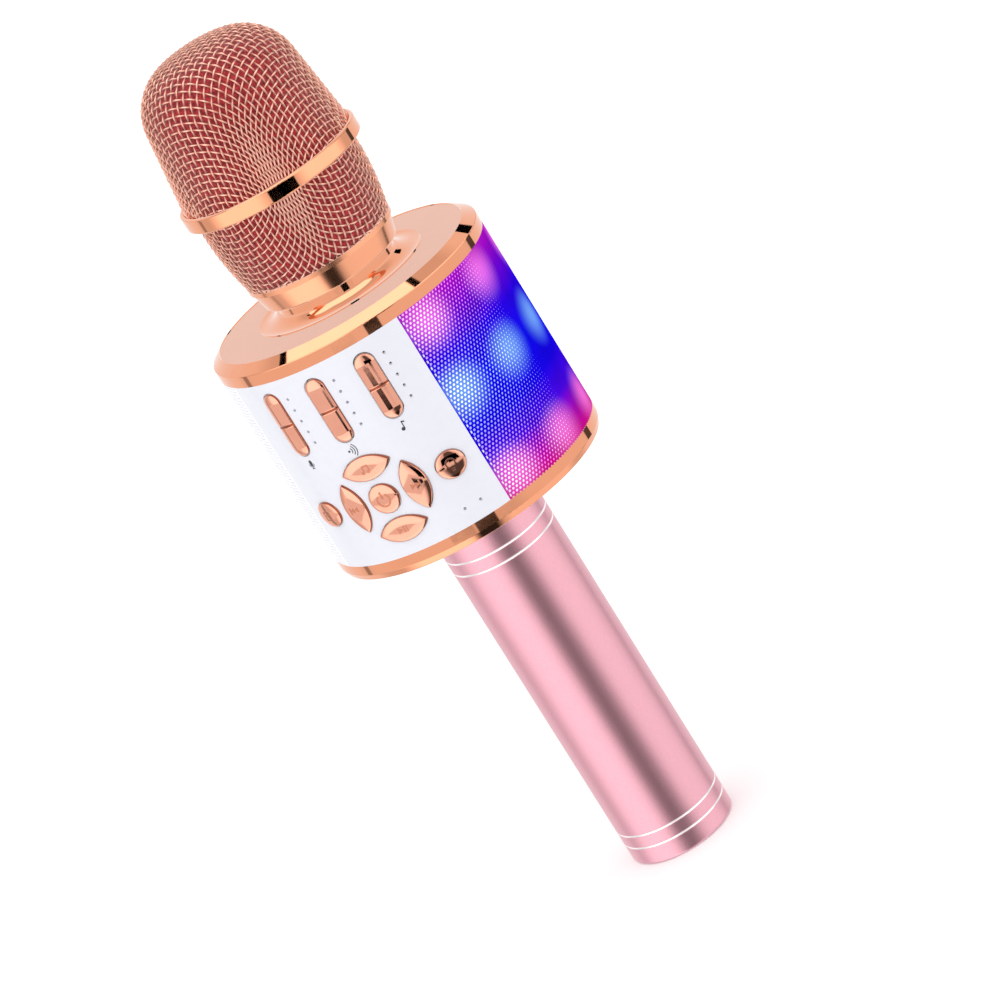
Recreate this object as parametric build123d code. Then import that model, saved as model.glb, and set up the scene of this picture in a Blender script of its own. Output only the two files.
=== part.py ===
from build123d import *
import math
import os

# Karaoke microphone. All sizes are in millimetres. Z is the axis of the microphone, z = 0 is the
# flat end of the handle, and the control panel faces -Y. Angles around the body are measured from
# the middle of the control panel, positive towards +X.

# ------------------------------------------------------------------ overall sizes
BODY_R = 40.0
WALL_HEIGHT = 57.3
HANDLE_R = 15.6
HANDLE_WALL = 1.2
HANDLE_LENGTH = 114.0
PANEL_HALF_ANGLE = 41.7

# ------------------------------------------------------------------ gaps and fits
SEAT_GAP = 0.1
SEAM_GAP = 0.15
RUNNING_GAP = 0.08
SKIN_GAP = 0.3

# ------------------------------------------------------------------ trim rings and covers
LOW_RING_HEIGHT = 4.8
LOW_RING_CHAMFER = (0.7, 1.9)
TOP_RING_BAND = 3.3
TOP_RING_CHAMFER = (3.1, 2.1)
RING_LEDGE = 2.2
COVER_THICKNESS = 1.7
COVER_RECESS = 0.3
RING_EDGE_ROUND = 0.3

# ------------------------------------------------------------------ neck and collar
FLANGE_R = 24.4
FLANGE_EDGE = 0.45
FLARE_HEIGHT = 1.8
FLARE_STEP = 0.9
NECK_R = 17.4
NECK_HEIGHT = 8.9
NECK_WALL = 2.9
STEM_STEP = 0.4
COLLAR_LIFT = 4.55
COLLAR_HEIGHT = 7.1
COLLAR_WALL = 2.3
COLLAR_TOP_R = 21.5
COLLAR_ROUND = 0.9
WASHER_THICKNESS = 0.8
WASHER_WIDTH = 2.2
THREAD_PITCH = 1.25
UNSCREW_TURNS = 3

# ------------------------------------------------------------------ grille head
CLOTH_THICKNESS = 0.9
BASKET_SEAT = 1.2
BASKET_BULGE_R = 23.7
BASKET_ARC_R = 74.0
BASKET_BULGE_Z = 18.0
BASKET_HEIGHT = 22.95
RING_R = 26.2
RING_HEIGHT = 4.25
RING_BORE_R = 22.8
RING_ROUND = 0.5
RING_REBATE = 0.9
DOME_BASE_R = 25.1
DOME_HEIGHT = 37.7
DOME_SHOULDER_R = 22.3
DOME_SHOULDER_Z = 23.6
DOME_SHOULDER_ROUND = 15.2
FOAM_THICKNESS = 4.0

# ------------------------------------------------------------------ microphone capsule
CAPSULE_R = 12.0
CAPSULE_HEIGHT = 16.0
CAPSULE_CROWN = 2.0
MOUNT_WALL = 2.4
MOUNT_HEIGHT = 9.0
CUP_WALL = 1.4
CUP_HEIGHT = 27.0
CUP_FLOOR = 1.6
LEAD_HOLE_R = 2.2

# ------------------------------------------------------------------ body skin
PANEL_THICKNESS = 2.0
GRILLE_THICKNESS = 0.7
GRILLE_HEM = 0.8
DIFFUSER_THICKNESS = 0.6
RIB_THICKNESS = 1.2
RIB_DEPTH = 3.0

# ------------------------------------------------------------------ chassis
PLATE_THICKNESS = 2.4
PILLAR_WIDTH = 4.0
PILLAR_DEPTH = 4.0
BAFFLE_INSET = 9.2
BAFFLE_THICKNESS = 1.5
SPIGOT_LENGTH = 14.0
SPIGOT_WALL = 2.0
BLOCK_SIZE = (6.0, 5.0, 5.0)
BLOCK_X = 5.7
COVER_SCREW_INSET = 10.0
COVER_BOSS_R = 3.2

# ------------------------------------------------------------------ loudspeakers
SPEAKER_R = 20.0
SPEAKER_FLANGE = 1.2
SPEAKER_BACK_R = 14.6
SPEAKER_FRAME_DEPTH = 10.0
SPEAKER_METAL = 1.0
CONE_R = 17.0
CONE_THICKNESS = 0.5
CONE_DEPTH = 5.5
DUST_CAP_R = 6.5
MAGNET_R = 13.5
MAGNET_THICKNESS = 6.5
GASKET_THICKNESS = 0.8

# ------------------------------------------------------------------ lighting
LED_FILM = 0.3
LED_CLEARANCE = 0.7
LED_SIZE = 2.6
LED_HEIGHT = 0.7
LED_BRIDGE = 4.6
LED_EDGE_ANGLE = 2.2
LED_TOP_MARGIN = 5.75
LED_BRIDGE_RISE = 2.5
LED_LOW_MARGIN = 5.15

# ------------------------------------------------------------------ boards and switches
BOARD_THICKNESS = 1.6
BOARD_HALF_WIDTH = 18.8
BOARD_INSET = 11.5
SWITCH_SIZE = 4.5
SWITCH_BODY = 1.9
SWITCH_STEM_R = 0.9
SWITCH_STEM = 0.6
SWITCH_REST_GAP = 0.2

# ------------------------------------------------------------------ keys
KEY_PROUD = 0.9
KEY_TRAVEL = 0.6
KEY_GAP = 0.2
KEY_LIP = 0.4
KEY_LIP_THICKNESS = 1.0
KEY_EDGE_ROUND = 0.4
KEY_BULGE_R = 70.0
KEY_PLUNGER_R = 1.2
KEY_LOW_MARGIN = 3.95
PAD_UP_RISE = 9.55
PAD_SIDE_ANGLE = 13.7
LEAF_LENGTH = 14.9
LEAF_WIDTH = 6.9
LEAF_TIP_ROUND = 0.5
POWER_R = 4.25
OVAL_WIDTH = 8.2
OVAL_HEIGHT = 7.6
LAMP_ANGLE = 28.65

# ------------------------------------------------------------------ rockers
ROCKER_LENGTH = 19.0
ROCKER_WIDTH = 5.6
ROCKER_TOP_MARGIN = 3.2
ROCKER_ANGLE = 21.5
ROCKER_TILT = 3.5
ROCKER_PROUD = 0.8
ROCKER_PIVOT_INSET = 1.8
ROCKER_BODY_DEPTH = 5.6
ROCKER_END_GAP = 0.45
TRUNNION_R = 0.9
TRUNNION_LENGTH = 1.5
EAR_THICKNESS = 1.2
EAR_HALF_HEIGHT = 1.8
CRADLE_THICKNESS = 1.2
CRADLE_HALF_HEIGHT = 4.0
LEG_OFFSET = 6.5
LEG_R = 1.0
ROCKER_GROOVE = 0.35

# ------------------------------------------------------------------ windows in the panel
WINDOW_R = 0.45
WINDOW_PITCH = 3.38
WINDOW_COUNT = 5
WINDOW_ANGLE_FROM_ROCKER = 8.1
LAMP_WINDOW_ANGLES = (24.3, 31.1)
LAMP_WINDOW_MARGIN = 4.6
GUIDE_THICKNESS = 1.4
GUIDE_WIDTH = 1.6

# ------------------------------------------------------------------ ports in the rear panel
JACK_BORE_R = 1.8
JACK_BODY_R = 3.4
JACK_DEPTH = 14.5
JACK_DROP = 14.0
JACK_X = -8.0
CHARGE_SIZE = (9.0, 3.3)
CHARGE_WALL = 0.35
CHARGE_DROP = 14.0
CHARGE_X = 8.0
CARD_SIZE = (13.0, 2.0)
CARD_WALL = 0.35
CARD_DROP = 6.5
PORT_GAP = 0.3

# ------------------------------------------------------------------ handle contents
GROOVE_DEPTH = 0.3
GROOVE_WIDTH = 0.7
GROOVES_FROM_END = (5.7, 9.7)
GROOVES_FROM_BODY = (12.6, 16.5)
HANDLE_END_ROUND = 0.9
CAP_FLANGE = 2.6
CAP_PLUG_LENGTH = 7.0
CAP_PLUG_WALL = 1.6
CELL_R = 9.2
CELL_LENGTH = 65.0
CARRIER_WALL = 1.6
CARRIER_RIBS = 4
CARRIER_FLOOR = 2.0
PROTECTION_BOARD = (15.0, 11.0, 1.2)

# ------------------------------------------------------------------ screws and leads
SCREW_R = 1.0
SCREW_HEAD_R = 1.9
SCREW_HEAD = 1.1
SCREW_HOLE_GAP = 0.1
BOARD_SCREW_LENGTH = 4.5
LEAD_R = 0.9

# ------------------------------------------------------------------ levels worked out from them
Z_BODY = HANDLE_LENGTH + SEAT_GAP
Z_WALL_LOW = Z_BODY + LOW_RING_HEIGHT
Z_WALL_TOP = Z_WALL_LOW + WALL_HEIGHT
Z_WALL_MIDDLE = (Z_WALL_LOW + Z_WALL_TOP) / 2
Z_TOP_RING = Z_WALL_TOP + TOP_RING_BAND + TOP_RING_CHAMFER[1]
Z_DISC = Z_TOP_RING - COVER_RECESS
Z_NECK_TOP = Z_DISC + NECK_HEIGHT
Z_COLLAR = Z_DISC + COLLAR_LIFT
Z_COLLAR_TOP = Z_COLLAR + COLLAR_HEIGHT
Z_BASKET = Z_COLLAR_TOP - BASKET_SEAT
Z_RING = Z_BASKET + BASKET_HEIGHT
Z_DOME = Z_RING + RING_HEIGHT - RING_REBATE
Z_CAPSULE_CUP_TOP = Z_WALL_TOP + CUP_HEIGHT
Z_KEYS = Z_WALL_LOW + KEY_LOW_MARGIN + LEAF_WIDTH / 2 + PAD_UP_RISE
Z_ROCKERS = Z_WALL_TOP - ROCKER_TOP_MARGIN - ROCKER_LENGTH / 2
Z_LAMP_WINDOWS = Z_WALL_LOW + LAMP_WINDOW_MARGIN

NECK_BORE_R = NECK_R - NECK_WALL
STEM_R = NECK_R + STEM_STEP
FLARE_TOP_R = NECK_R + FLARE_STEP
COLLAR_LOW_R = NECK_R + COLLAR_WALL

PANEL_INNER_R = BODY_R - PANEL_THICKNESS
CHASSIS_R = PANEL_INNER_R - SEAT_GAP
COVER_R = BODY_R - TOP_RING_CHAMFER[0] - SEAT_GAP
TUBE_BORE_R = HANDLE_R - HANDLE_WALL
SPIGOT_R = TUBE_BORE_R - SEAT_GAP
KEY_LIP_R = PANEL_INNER_R - SKIN_GAP
BOARD_FACE = PANEL_INNER_R - BOARD_INSET
DIFFUSER_R = BODY_R - GRILLE_THICKNESS - SEAT_GAP
LED_FILM_R = DIFFUSER_R - DIFFUSER_THICKNESS - LED_CLEARANCE - LED_HEIGHT - LED_FILM
BAFFLE_X = PANEL_INNER_R - BAFFLE_INSET
BAFFLE_HALF_WIDTH = math.sqrt((LED_FILM_R - SEAM_GAP) ** 2 - (BAFFLE_X + BAFFLE_THICKNESS) ** 2)
ROCKER_PIVOT_R = PANEL_INNER_R - ROCKER_PIVOT_INSET
COVER_SCREW_RING_R = BODY_R - COVER_SCREW_INSET
SWITCH_TOP = BOARD_FACE + SWITCH_BODY + SWITCH_STEM
UNSCREW_RISE = THREAD_PITCH * UNSCREW_TURNS
# level of the row, angle of its first lamp, angle between lamps, number of lamps
LED_ROWS = (
    (Z_WALL_TOP - LED_TOP_MARGIN, 50.0, 33.0, 3),
    (Z_WALL_MIDDLE + LED_BRIDGE_RISE, 47.0, 27.0, 4),
    (Z_WALL_LOW + LED_LOW_MARGIN, 48.0, 28.0, 4),
)
ROCKER_ANGLES = {"rocker_mic": -ROCKER_ANGLE, "rocker_echo": 0.0, "rocker_music": ROCKER_ANGLE}


# ------------------------------------------------------------------ shape helpers
def turned(*points):
    """Solid of revolution about Z of a closed outline given as (r, z) points."""
    return revolve(make_face(Plane.XZ * Polyline(*points, close=True)), Axis.Z)


def turned_rounded(points, radii):
    """Solid of revolution of an outline whose corners are rounded, one radius each."""
    outline = FilletPolyline(*[(r, 0, z) for r, z in points], radius=radii, close=True)
    return revolve(make_face(outline), Axis.Z)


def tube(r_out, r_in, z_low, z_high):
    """Plain tube about Z."""
    return turned((r_in, z_low), (r_out, z_low), (r_out, z_high), (r_in, z_high))


def disc(radius, z_low, z_high):
    """Plain round plate about Z."""
    height = z_high - z_low
    return Pos(0, 0, z_low + height / 2) * Cylinder(radius, height)


def sector(r_in, r_out, z_low, z_high, start, end):
    """Part of a tube between two angles around the body."""
    middle = ((r_in + r_out) / 2, 0, (z_low + z_high) / 2)
    section = Pos(*middle) * (Plane.XZ * Rectangle(r_out - r_in, z_high - z_low))
    return Rot(0, 0, start - 90) * revolve(section, Axis.Z, end - start)


def around(shape, angle):
    """Turn a shape made at the middle of the panel to its angle around the body."""
    return Rot(0, 0, angle) * shape


def at_radius(sketch, r_inner, r_outer):
    """Extrude a sketch (x across, y up) outwards from the axis, towards -Y."""
    return extrude(Plane.XZ.offset(r_inner) * sketch, amount=r_outer - r_inner)


def box_between(low, high):
    """Box from its lowest to its highest corner."""
    size = [b - a for a, b in zip(low, high)]
    middle = [(a + b) / 2 for a, b in zip(low, high)]
    return Pos(*middle) * Box(*size)


def mirrored_pair(shape):
    """A shape and its mirror image across the YZ plane."""
    return [shape, mirror(shape, Plane.YZ)]


def save(name, *shapes):
    """Write one sub-part, or one group of equal solids, to its own file."""
    solids = [solid for shape in shapes for solid in shape.solids()]
    whole = solids[0] if len(solids) == 1 else Compound(solids)
    export_step(whole, f"parts/{name}.step")


# ------------------------------------------------------------------ grille head
def dome_face(inset):
    """Half section of the crown: tapered wall, shoulder arc and crown arc, inset by a skin."""
    drop = DOME_HEIGHT - DOME_SHOULDER_Z
    taper = math.atan((DOME_BASE_R - DOME_SHOULDER_R) / DOME_SHOULDER_Z)
    shoulder_r = DOME_SHOULDER_ROUND
    centre_r = DOME_SHOULDER_R - shoulder_r * math.cos(taper)
    centre_z = DOME_SHOULDER_Z - shoulder_r * math.sin(taper)
    below = centre_z - DOME_HEIGHT
    crown_r = (shoulder_r**2 - centre_r**2 - below**2) / (2 * (below + shoulder_r))
    crown_z = DOME_HEIGHT - crown_r
    join = math.atan2(centre_z - crown_z, centre_r)

    def on_shoulder(angle):
        reach = shoulder_r - inset
        return (centre_r + reach * math.cos(angle), centre_z + reach * math.sin(angle))

    def on_crown(angle):
        reach = crown_r - inset
        return (reach * math.cos(angle), crown_z + reach * math.sin(angle))

    start = on_shoulder(taper)
    base_z = -drop if inset else 0.0
    base = (start[0] + (start[1] - base_z) * math.tan(taper), base_z)
    apex = on_crown(math.pi / 2)
    outline = [
        Line(base, start),
        ThreePointArc(start, on_shoulder((taper + join) / 2), on_shoulder(join)),
        ThreePointArc(on_crown(join), on_crown((join + math.pi / 2) / 2), apex),
        Line(apex, (0, base_z)),
        Line((0, base_z), base),
    ]
    return Plane.XZ * make_face(outline)


def dome_solid(inset):
    """Filled crown, with its base at the seat in the middle band."""
    return Pos(0, 0, Z_DOME) * revolve(dome_face(inset), Axis.Z)


def basket_radius(z):
    """Outer radius of the lower basket at a height."""
    above = z - (Z_COLLAR_TOP + BASKET_BULGE_Z)
    return BASKET_BULGE_R - BASKET_ARC_R + math.sqrt(BASKET_ARC_R**2 - above**2)


def basket_solid(inset, z_low, z_high):
    """Filled basket between two levels, inset from its outer face."""
    z_half = (z_low + z_high) / 2
    points = [(basket_radius(z) - inset, z) for z in (z_low, z_half, z_high)]
    outline = [
        ThreePointArc(*points),
        Line(points[2], (0, z_high)),
        Line((0, z_high), (0, z_low)),
        Line((0, z_low), points[0]),
    ]
    return revolve(Plane.XZ * make_face(outline), Axis.Z)


def grille_dome():
    """Woven-wire crown as a closed skin of the cloth's thickness."""
    return dome_solid(0) - dome_solid(CLOTH_THICKNESS)


def grille_basket():
    """Woven-wire basket as a closed skin of the cloth's thickness."""
    whole = basket_solid(0, Z_BASKET, Z_RING)
    return whole - basket_solid(CLOTH_THICKNESS, Z_BASKET - 1, Z_RING + 1)


def grille_ring():
    """Band that clamps the crown and the basket together."""
    top = Z_RING + RING_HEIGHT
    seat_r = DOME_BASE_R + SEAT_GAP
    points = [
        (RING_BORE_R, Z_RING),
        (RING_R, Z_RING),
        (RING_R, top),
        (seat_r, top),
        (seat_r, Z_DOME),
        (RING_BORE_R, Z_DOME),
    ]
    return turned_rounded(points, [0, RING_ROUND, RING_ROUND, 0, 0, 0])


def head_collar():
    """Flared collar that carries the basket and screws onto the neck."""
    thread_r = NECK_R + RUNNING_GAP
    ledge_z = Z_NECK_TOP + WASHER_THICKNESS + SEAT_GAP
    ledge_r = NECK_R - WASHER_WIDTH + 1.0
    seat_r = basket_radius(Z_COLLAR_TOP) + SEAT_GAP
    basket_z = Z_BASKET - SEAT_GAP
    points = [
        (thread_r, Z_COLLAR),
        (COLLAR_LOW_R, Z_COLLAR),
        (COLLAR_TOP_R, Z_COLLAR_TOP),
        (seat_r, Z_COLLAR_TOP),
        (seat_r, basket_z),
        (ledge_r, basket_z),
        (ledge_r, ledge_z),
        (thread_r, ledge_z),
    ]
    return turned_rounded(points, [0, COLLAR_ROUND, 0, 0, 0, 0, 0, 0])


def thread_washer():
    """Fibre washer between the top of the neck and the ledge in the collar."""
    z_low = Z_NECK_TOP + SEAT_GAP / 2
    return tube(NECK_R - SKIN_GAP, NECK_R - WASHER_WIDTH, z_low, z_low + WASHER_THICKNESS)


def foam_windscreen():
    """Foam liner that follows the inside of the basket and the crown."""
    skin = CLOTH_THICKNESS + SKIN_GAP
    waist_r = RING_BORE_R - SKIN_GAP
    z_low = Z_COLLAR_TOP
    z_waist = Z_RING - 1.0
    z_dome = Z_DOME + RING_REBATE + 0.5
    outer = basket_solid(skin, z_low, z_waist)
    outer += disc(min(waist_r, basket_radius(z_waist) - skin), z_waist, z_dome)
    outer += dome_solid(skin) & disc(BODY_R, z_dome, Z_DOME + DOME_HEIGHT)
    inner = basket_solid(skin + FOAM_THICKNESS, z_low - 1, z_waist)
    inner += disc(basket_radius(z_waist) - skin - FOAM_THICKNESS, z_waist, z_dome)
    inner += dome_solid(skin + FOAM_THICKNESS) & disc(BODY_R, z_dome, Z_DOME + DOME_HEIGHT)
    return outer - inner


# ------------------------------------------------------------------ capsule
def capsule_cup():
    """Cup that stands on the chassis inside the neck and holds the rubber mount."""
    r_low = NECK_BORE_R - SEAT_GAP
    top = Z_CAPSULE_CUP_TOP
    bore = r_low - CUP_WALL
    cup = tube(r_low, bore, Z_WALL_TOP, top)
    cup += tube(r_low, LEAD_HOLE_R, top - CUP_FLOOR, top)
    return cup


def capsule_mount():
    """Rubber sleeve around the lower part of the capsule."""
    z_low = Z_CAPSULE_CUP_TOP
    mount = tube(CAPSULE_R + MOUNT_WALL, CAPSULE_R + SEAT_GAP, z_low, z_low + MOUNT_HEIGHT)
    floor_z = z_low + MOUNT_WALL - SEAT_GAP
    return mount + tube(CAPSULE_R + MOUNT_WALL, LEAD_HOLE_R, z_low, floor_z)


def capsule():
    """Microphone capsule with a slightly crowned front."""
    z_low = Z_CAPSULE_CUP_TOP + MOUNT_WALL
    top = z_low + CAPSULE_HEIGHT
    rim = (CAPSULE_R, top - CAPSULE_CROWN)
    crown_r = (CAPSULE_R**2 + CAPSULE_CROWN**2) / (2 * CAPSULE_CROWN)
    half_r = CAPSULE_R / 2
    half = (half_r, top - crown_r + math.sqrt(crown_r**2 - half_r**2))
    outline = [
        Line((0, z_low), (CAPSULE_R, z_low)),
        Line((CAPSULE_R, z_low), rim),
        ThreePointArc(rim, half, (0, top)),
        Line((0, top), (0, z_low)),
    ]
    return revolve(Plane.XZ * make_face(outline), Axis.Z)


# ------------------------------------------------------------------ neck, covers and trim rings
def neck_flange():
    """Polished foot with a concave flare, the threaded neck and the stem under the cover."""
    edge_z = Z_DISC + FLANGE_EDGE
    flare_z = Z_DISC + FLARE_HEIGHT
    waist_z = flare_z + (FLARE_TOP_R - NECK_R) * 0.3
    flare_mid = (FLARE_TOP_R + 1.6, Z_DISC + FLANGE_EDGE * 1.7)
    outline = [
        Line((NECK_BORE_R, Z_WALL_TOP), (STEM_R, Z_WALL_TOP)),
        Line((STEM_R, Z_WALL_TOP), (STEM_R, Z_DISC)),
        Line((STEM_R, Z_DISC), (FLANGE_R, Z_DISC)),
        Line((FLANGE_R, Z_DISC), (FLANGE_R, edge_z)),
        ThreePointArc((FLANGE_R, edge_z), flare_mid, (FLARE_TOP_R, flare_z)),
        Line((FLARE_TOP_R, flare_z), (NECK_R, waist_z)),
        Line((NECK_R, waist_z), (NECK_R, Z_NECK_TOP)),
        Line((NECK_R, Z_NECK_TOP), (NECK_BORE_R, Z_NECK_TOP)),
        Line((NECK_BORE_R, Z_NECK_TOP), (NECK_BORE_R, Z_WALL_TOP)),
    ]
    neck = revolve(Plane.XZ * make_face(outline), Axis.Z)
    hole_depth = COVER_THICKNESS + PLATE_THICKNESS
    return neck - screw_holes(neck_screw_places(), Z_WALL_TOP, hole_depth)


def neck_screw_places():
    """Three screws up through the chassis into the stem of the neck."""
    ring_r = (NECK_BORE_R + STEM_R) / 2
    return [(ring_r * math.sin(a), ring_r * math.cos(a)) for a in (0, 2.0944, 4.1888)]


def cover_screw_places():
    """Four screws that pull each cover onto the chassis."""
    places = []
    for angle in (45, 135, 225, 315):
        turn = math.radians(angle)
        places.append((COVER_SCREW_RING_R * math.sin(turn), COVER_SCREW_RING_R * math.cos(turn)))
    return places


def screw_holes(places, z_low, depth):
    """Round holes along Z for screws at the given places."""
    radius = SCREW_R + SCREW_HOLE_GAP
    return [Pos(x, y, z_low + depth / 2) * Cylinder(radius, depth) for x, y in places]


def top_trim_ring():
    """Polished upper ring: side band, chamfer and the ledge under the top cover."""
    band_z = Z_WALL_TOP + TOP_RING_BAND
    bore = BODY_R - TOP_RING_CHAMFER[0]
    ledge_z = Z_DISC - COVER_THICKNESS
    points = [
        (bore - RING_LEDGE, Z_WALL_TOP),
        (BODY_R, Z_WALL_TOP),
        (BODY_R, band_z),
        (bore, Z_TOP_RING),
        (bore, ledge_z),
        (bore - RING_LEDGE, ledge_z),
    ]
    return turned_rounded(points, [0, 0, RING_EDGE_ROUND, 0, 0, 0])


def bottom_trim_ring():
    """Polished lower ring with a small undercut at its lower edge."""
    bore = BODY_R - TOP_RING_CHAMFER[0]
    inward, upward = LOW_RING_CHAMFER
    ledge_z = Z_BODY + COVER_THICKNESS + SEAT_GAP
    points = [
        (bore, Z_BODY),
        (BODY_R - inward, Z_BODY),
        (BODY_R, Z_BODY + upward),
        (BODY_R, Z_WALL_LOW),
        (bore - RING_LEDGE, Z_WALL_LOW),
        (bore - RING_LEDGE, ledge_z),
        (bore, ledge_z),
    ]
    return turned_rounded(points, [0, RING_EDGE_ROUND, RING_EDGE_ROUND, 0, 0, 0, 0])


def top_cover():
    """Satin disc around the neck, with blind bosses that reach the chassis."""
    z_low = Z_DISC - COVER_THICKNESS
    cover = tube(COVER_R, STEM_R + SEAT_GAP, z_low, Z_DISC)
    for x, y in cover_screw_places():
        height = z_low - Z_WALL_TOP
        cover += Pos(x, y, Z_WALL_TOP + height / 2) * Cylinder(COVER_BOSS_R, height)
    return cover - screw_holes(cover_screw_places(), Z_WALL_TOP, Z_DISC - 1.0 - Z_WALL_TOP)


def bottom_cover():
    """Underside disc around the handle spigot, with sunk screw heads."""
    z_top = Z_BODY + COVER_THICKNESS
    cover = tube(COVER_R, SPIGOT_R + SEAT_GAP, Z_BODY, z_top)
    for x, y in cover_screw_places():
        height = Z_WALL_LOW - z_top
        cover += Pos(x, y, z_top + height / 2) * Cylinder(COVER_BOSS_R, height)
    cover -= screw_holes(cover_screw_places(), Z_BODY, LOW_RING_HEIGHT)
    sink = SCREW_HEAD + SCREW_HOLE_GAP
    sink_r = SCREW_HEAD_R + SCREW_HOLE_GAP
    return cover - [Pos(x, y, Z_BODY + sink / 2) * Cylinder(sink_r, sink)
                    for x, y in cover_screw_places()]


def cap_screw(x, y, z_head, length, up):
    """Pan-head screw along Z whose shank points up or down from its head."""
    sign = 1 if up else -1
    head = Pos(x, y, z_head + sign * SCREW_HEAD / 2) * Cylinder(SCREW_HEAD_R, SCREW_HEAD)
    shank_z = z_head + sign * (SCREW_HEAD + length / 2)
    return head + Pos(x, y, shank_z) * Cylinder(SCREW_R, length)


def body_screws():
    """Screws of the covers and the neck, all the same kind."""
    under_plate = Z_WALL_TOP - PLATE_THICKNESS - SCREW_HEAD
    top_length = PLATE_THICKNESS + 3.4
    screws = []
    for x, y in cover_screw_places():
        screws.append(cap_screw(x, y, under_plate, top_length, True))
        screws.append(cap_screw(x, y, Z_BODY + SCREW_HOLE_GAP, LOW_RING_HEIGHT, True))
    for x, y in neck_screw_places():
        screws.append(cap_screw(x, y, under_plate, top_length, True))
    return screws


# ------------------------------------------------------------------ outlines of keys and rockers
def leaf_outline(length, width):
    """Pointed oval made of two equal arcs, long way across."""
    radius = ((length / 2) ** 2 + (width / 2) ** 2) / width
    rise = radius - width / 2
    leaf = Pos(0, -rise) * Circle(radius) & Pos(0, rise) * Circle(radius)
    return fillet(leaf.vertices(), LEAF_TIP_ROUND)


def key_outline(name, grow):
    """Outline of a key, grown all round by a margin."""
    if name in ("key_up", "key_down"):
        return leaf_outline(LEAF_LENGTH + 2 * grow, LEAF_WIDTH + 2 * grow)
    if name in ("key_left", "key_right"):
        return Rot(0, 0, 90) * leaf_outline(LEAF_LENGTH + 2 * grow, LEAF_WIDTH + 2 * grow)
    if name == "key_power":
        return Circle(POWER_R + grow)
    return Ellipse(OVAL_WIDTH / 2 + grow, OVAL_HEIGHT / 2 + grow)


KEYS = {
    "key_up": (0.0, PAD_UP_RISE),
    "key_down": (0.0, -PAD_UP_RISE),
    "key_left": (-PAD_SIDE_ANGLE, 0.0),
    "key_right": (PAD_SIDE_ANGLE, 0.0),
    "key_power": (0.0, 0.0),
    "key_lamp": (LAMP_ANGLE, 0.0),
    "key_mode": (-LAMP_ANGLE, 0.0),
}


def rocker_outline(side_gap, end_gap):
    """Pill outline of a rocker, long way up, with its gaps."""
    width = ROCKER_WIDTH + 2 * side_gap
    return Rot(0, 0, 90) * SlotOverall(ROCKER_LENGTH + 2 * end_gap, width)


def crown_barrel(radius, bulge):
    """Barrel about Z whose radius falls off gently above and below z = 0."""
    half = LEAF_LENGTH
    edge_r = radius - bulge + math.sqrt(bulge**2 - half**2)
    outline = [
        ThreePointArc((edge_r, -half), (radius, 0), (edge_r, half)),
        Line((edge_r, half), (0, half)),
        Line((0, half), (0, -half)),
        Line((0, -half), (edge_r, -half)),
    ]
    return revolve(Plane.XZ * make_face(outline), Axis.Z)


def round_front_edge(shape, radius):
    """Round the edges of the face that looks furthest towards -Y."""
    front = shape.faces().sort_by(Axis.Y)[0]
    return fillet(front.edges(), radius)


def plunger_tip(angle, radius, travel):
    """Radius at which a plunger on a slanted line still clears the switch when it is pressed."""
    turn = math.radians(abs(angle))
    reach = SWITCH_TOP + SWITCH_REST_GAP + radius * math.sin(turn)
    return reach / math.cos(turn) + travel


def key(name):
    """Key with a rounded crown, a lip behind the panel and a plunger over its switch."""
    angle, rise = KEYS[name]
    crown = at_radius(key_outline(name, 0), KEY_LIP_R - KEY_LIP_THICKNESS, BODY_R + 2 * KEY_PROUD)
    crown &= crown_barrel(BODY_R + KEY_PROUD, KEY_BULGE_R)
    crown = round_front_edge(crown, KEY_EDGE_ROUND)
    skirt = at_radius(key_outline(name, KEY_LIP), BOARD_FACE, BODY_R)
    skirt &= sector(KEY_LIP_R - KEY_LIP_THICKNESS, KEY_LIP_R, -LEAF_LENGTH, LEAF_LENGTH, -30, 30)
    tip_r = plunger_tip(angle, KEY_PLUNGER_R, KEY_TRAVEL)
    plunger = at_radius(Circle(KEY_PLUNGER_R), tip_r, KEY_LIP_R)
    return Pos(0, 0, Z_KEYS + rise) * around(crown + skirt + plunger, angle)


def rocker(name):
    """Rocker with a split line, two trunnions on its pivot and a leg over each switch."""
    back_r = BODY_R + ROCKER_PROUD - ROCKER_BODY_DEPTH
    body = at_radius(rocker_outline(0, 0), back_r, BODY_R + 2 * ROCKER_PROUD)
    body &= Cylinder(BODY_R + ROCKER_PROUD, 2 * ROCKER_LENGTH)
    body = round_front_edge(body, KEY_EDGE_ROUND)
    groove = box_between((-ROCKER_WIDTH, -BODY_R - 2, -ROCKER_GROOVE / 2),
                         (ROCKER_WIDTH, -BODY_R - ROCKER_PROUD + 0.5, ROCKER_GROOVE / 2))
    body -= groove
    pin = Cylinder(TRUNNION_R, ROCKER_WIDTH + 2 * TRUNNION_LENGTH, rotation=(0, 90, 0))
    body += Pos(0, -ROCKER_PIVOT_R, 0) * pin
    turn = math.radians(ROCKER_TILT)
    tip_r = plunger_tip(ROCKER_ANGLES[name], LEG_R, LEG_OFFSET * math.sin(turn))
    for side in (-1, 1):
        body += at_radius(Pos(0, side * LEG_OFFSET) * Circle(LEG_R), tip_r, back_r + 0.5)
    return Pos(0, 0, Z_ROCKERS) * around(body, ROCKER_ANGLES[name])


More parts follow.
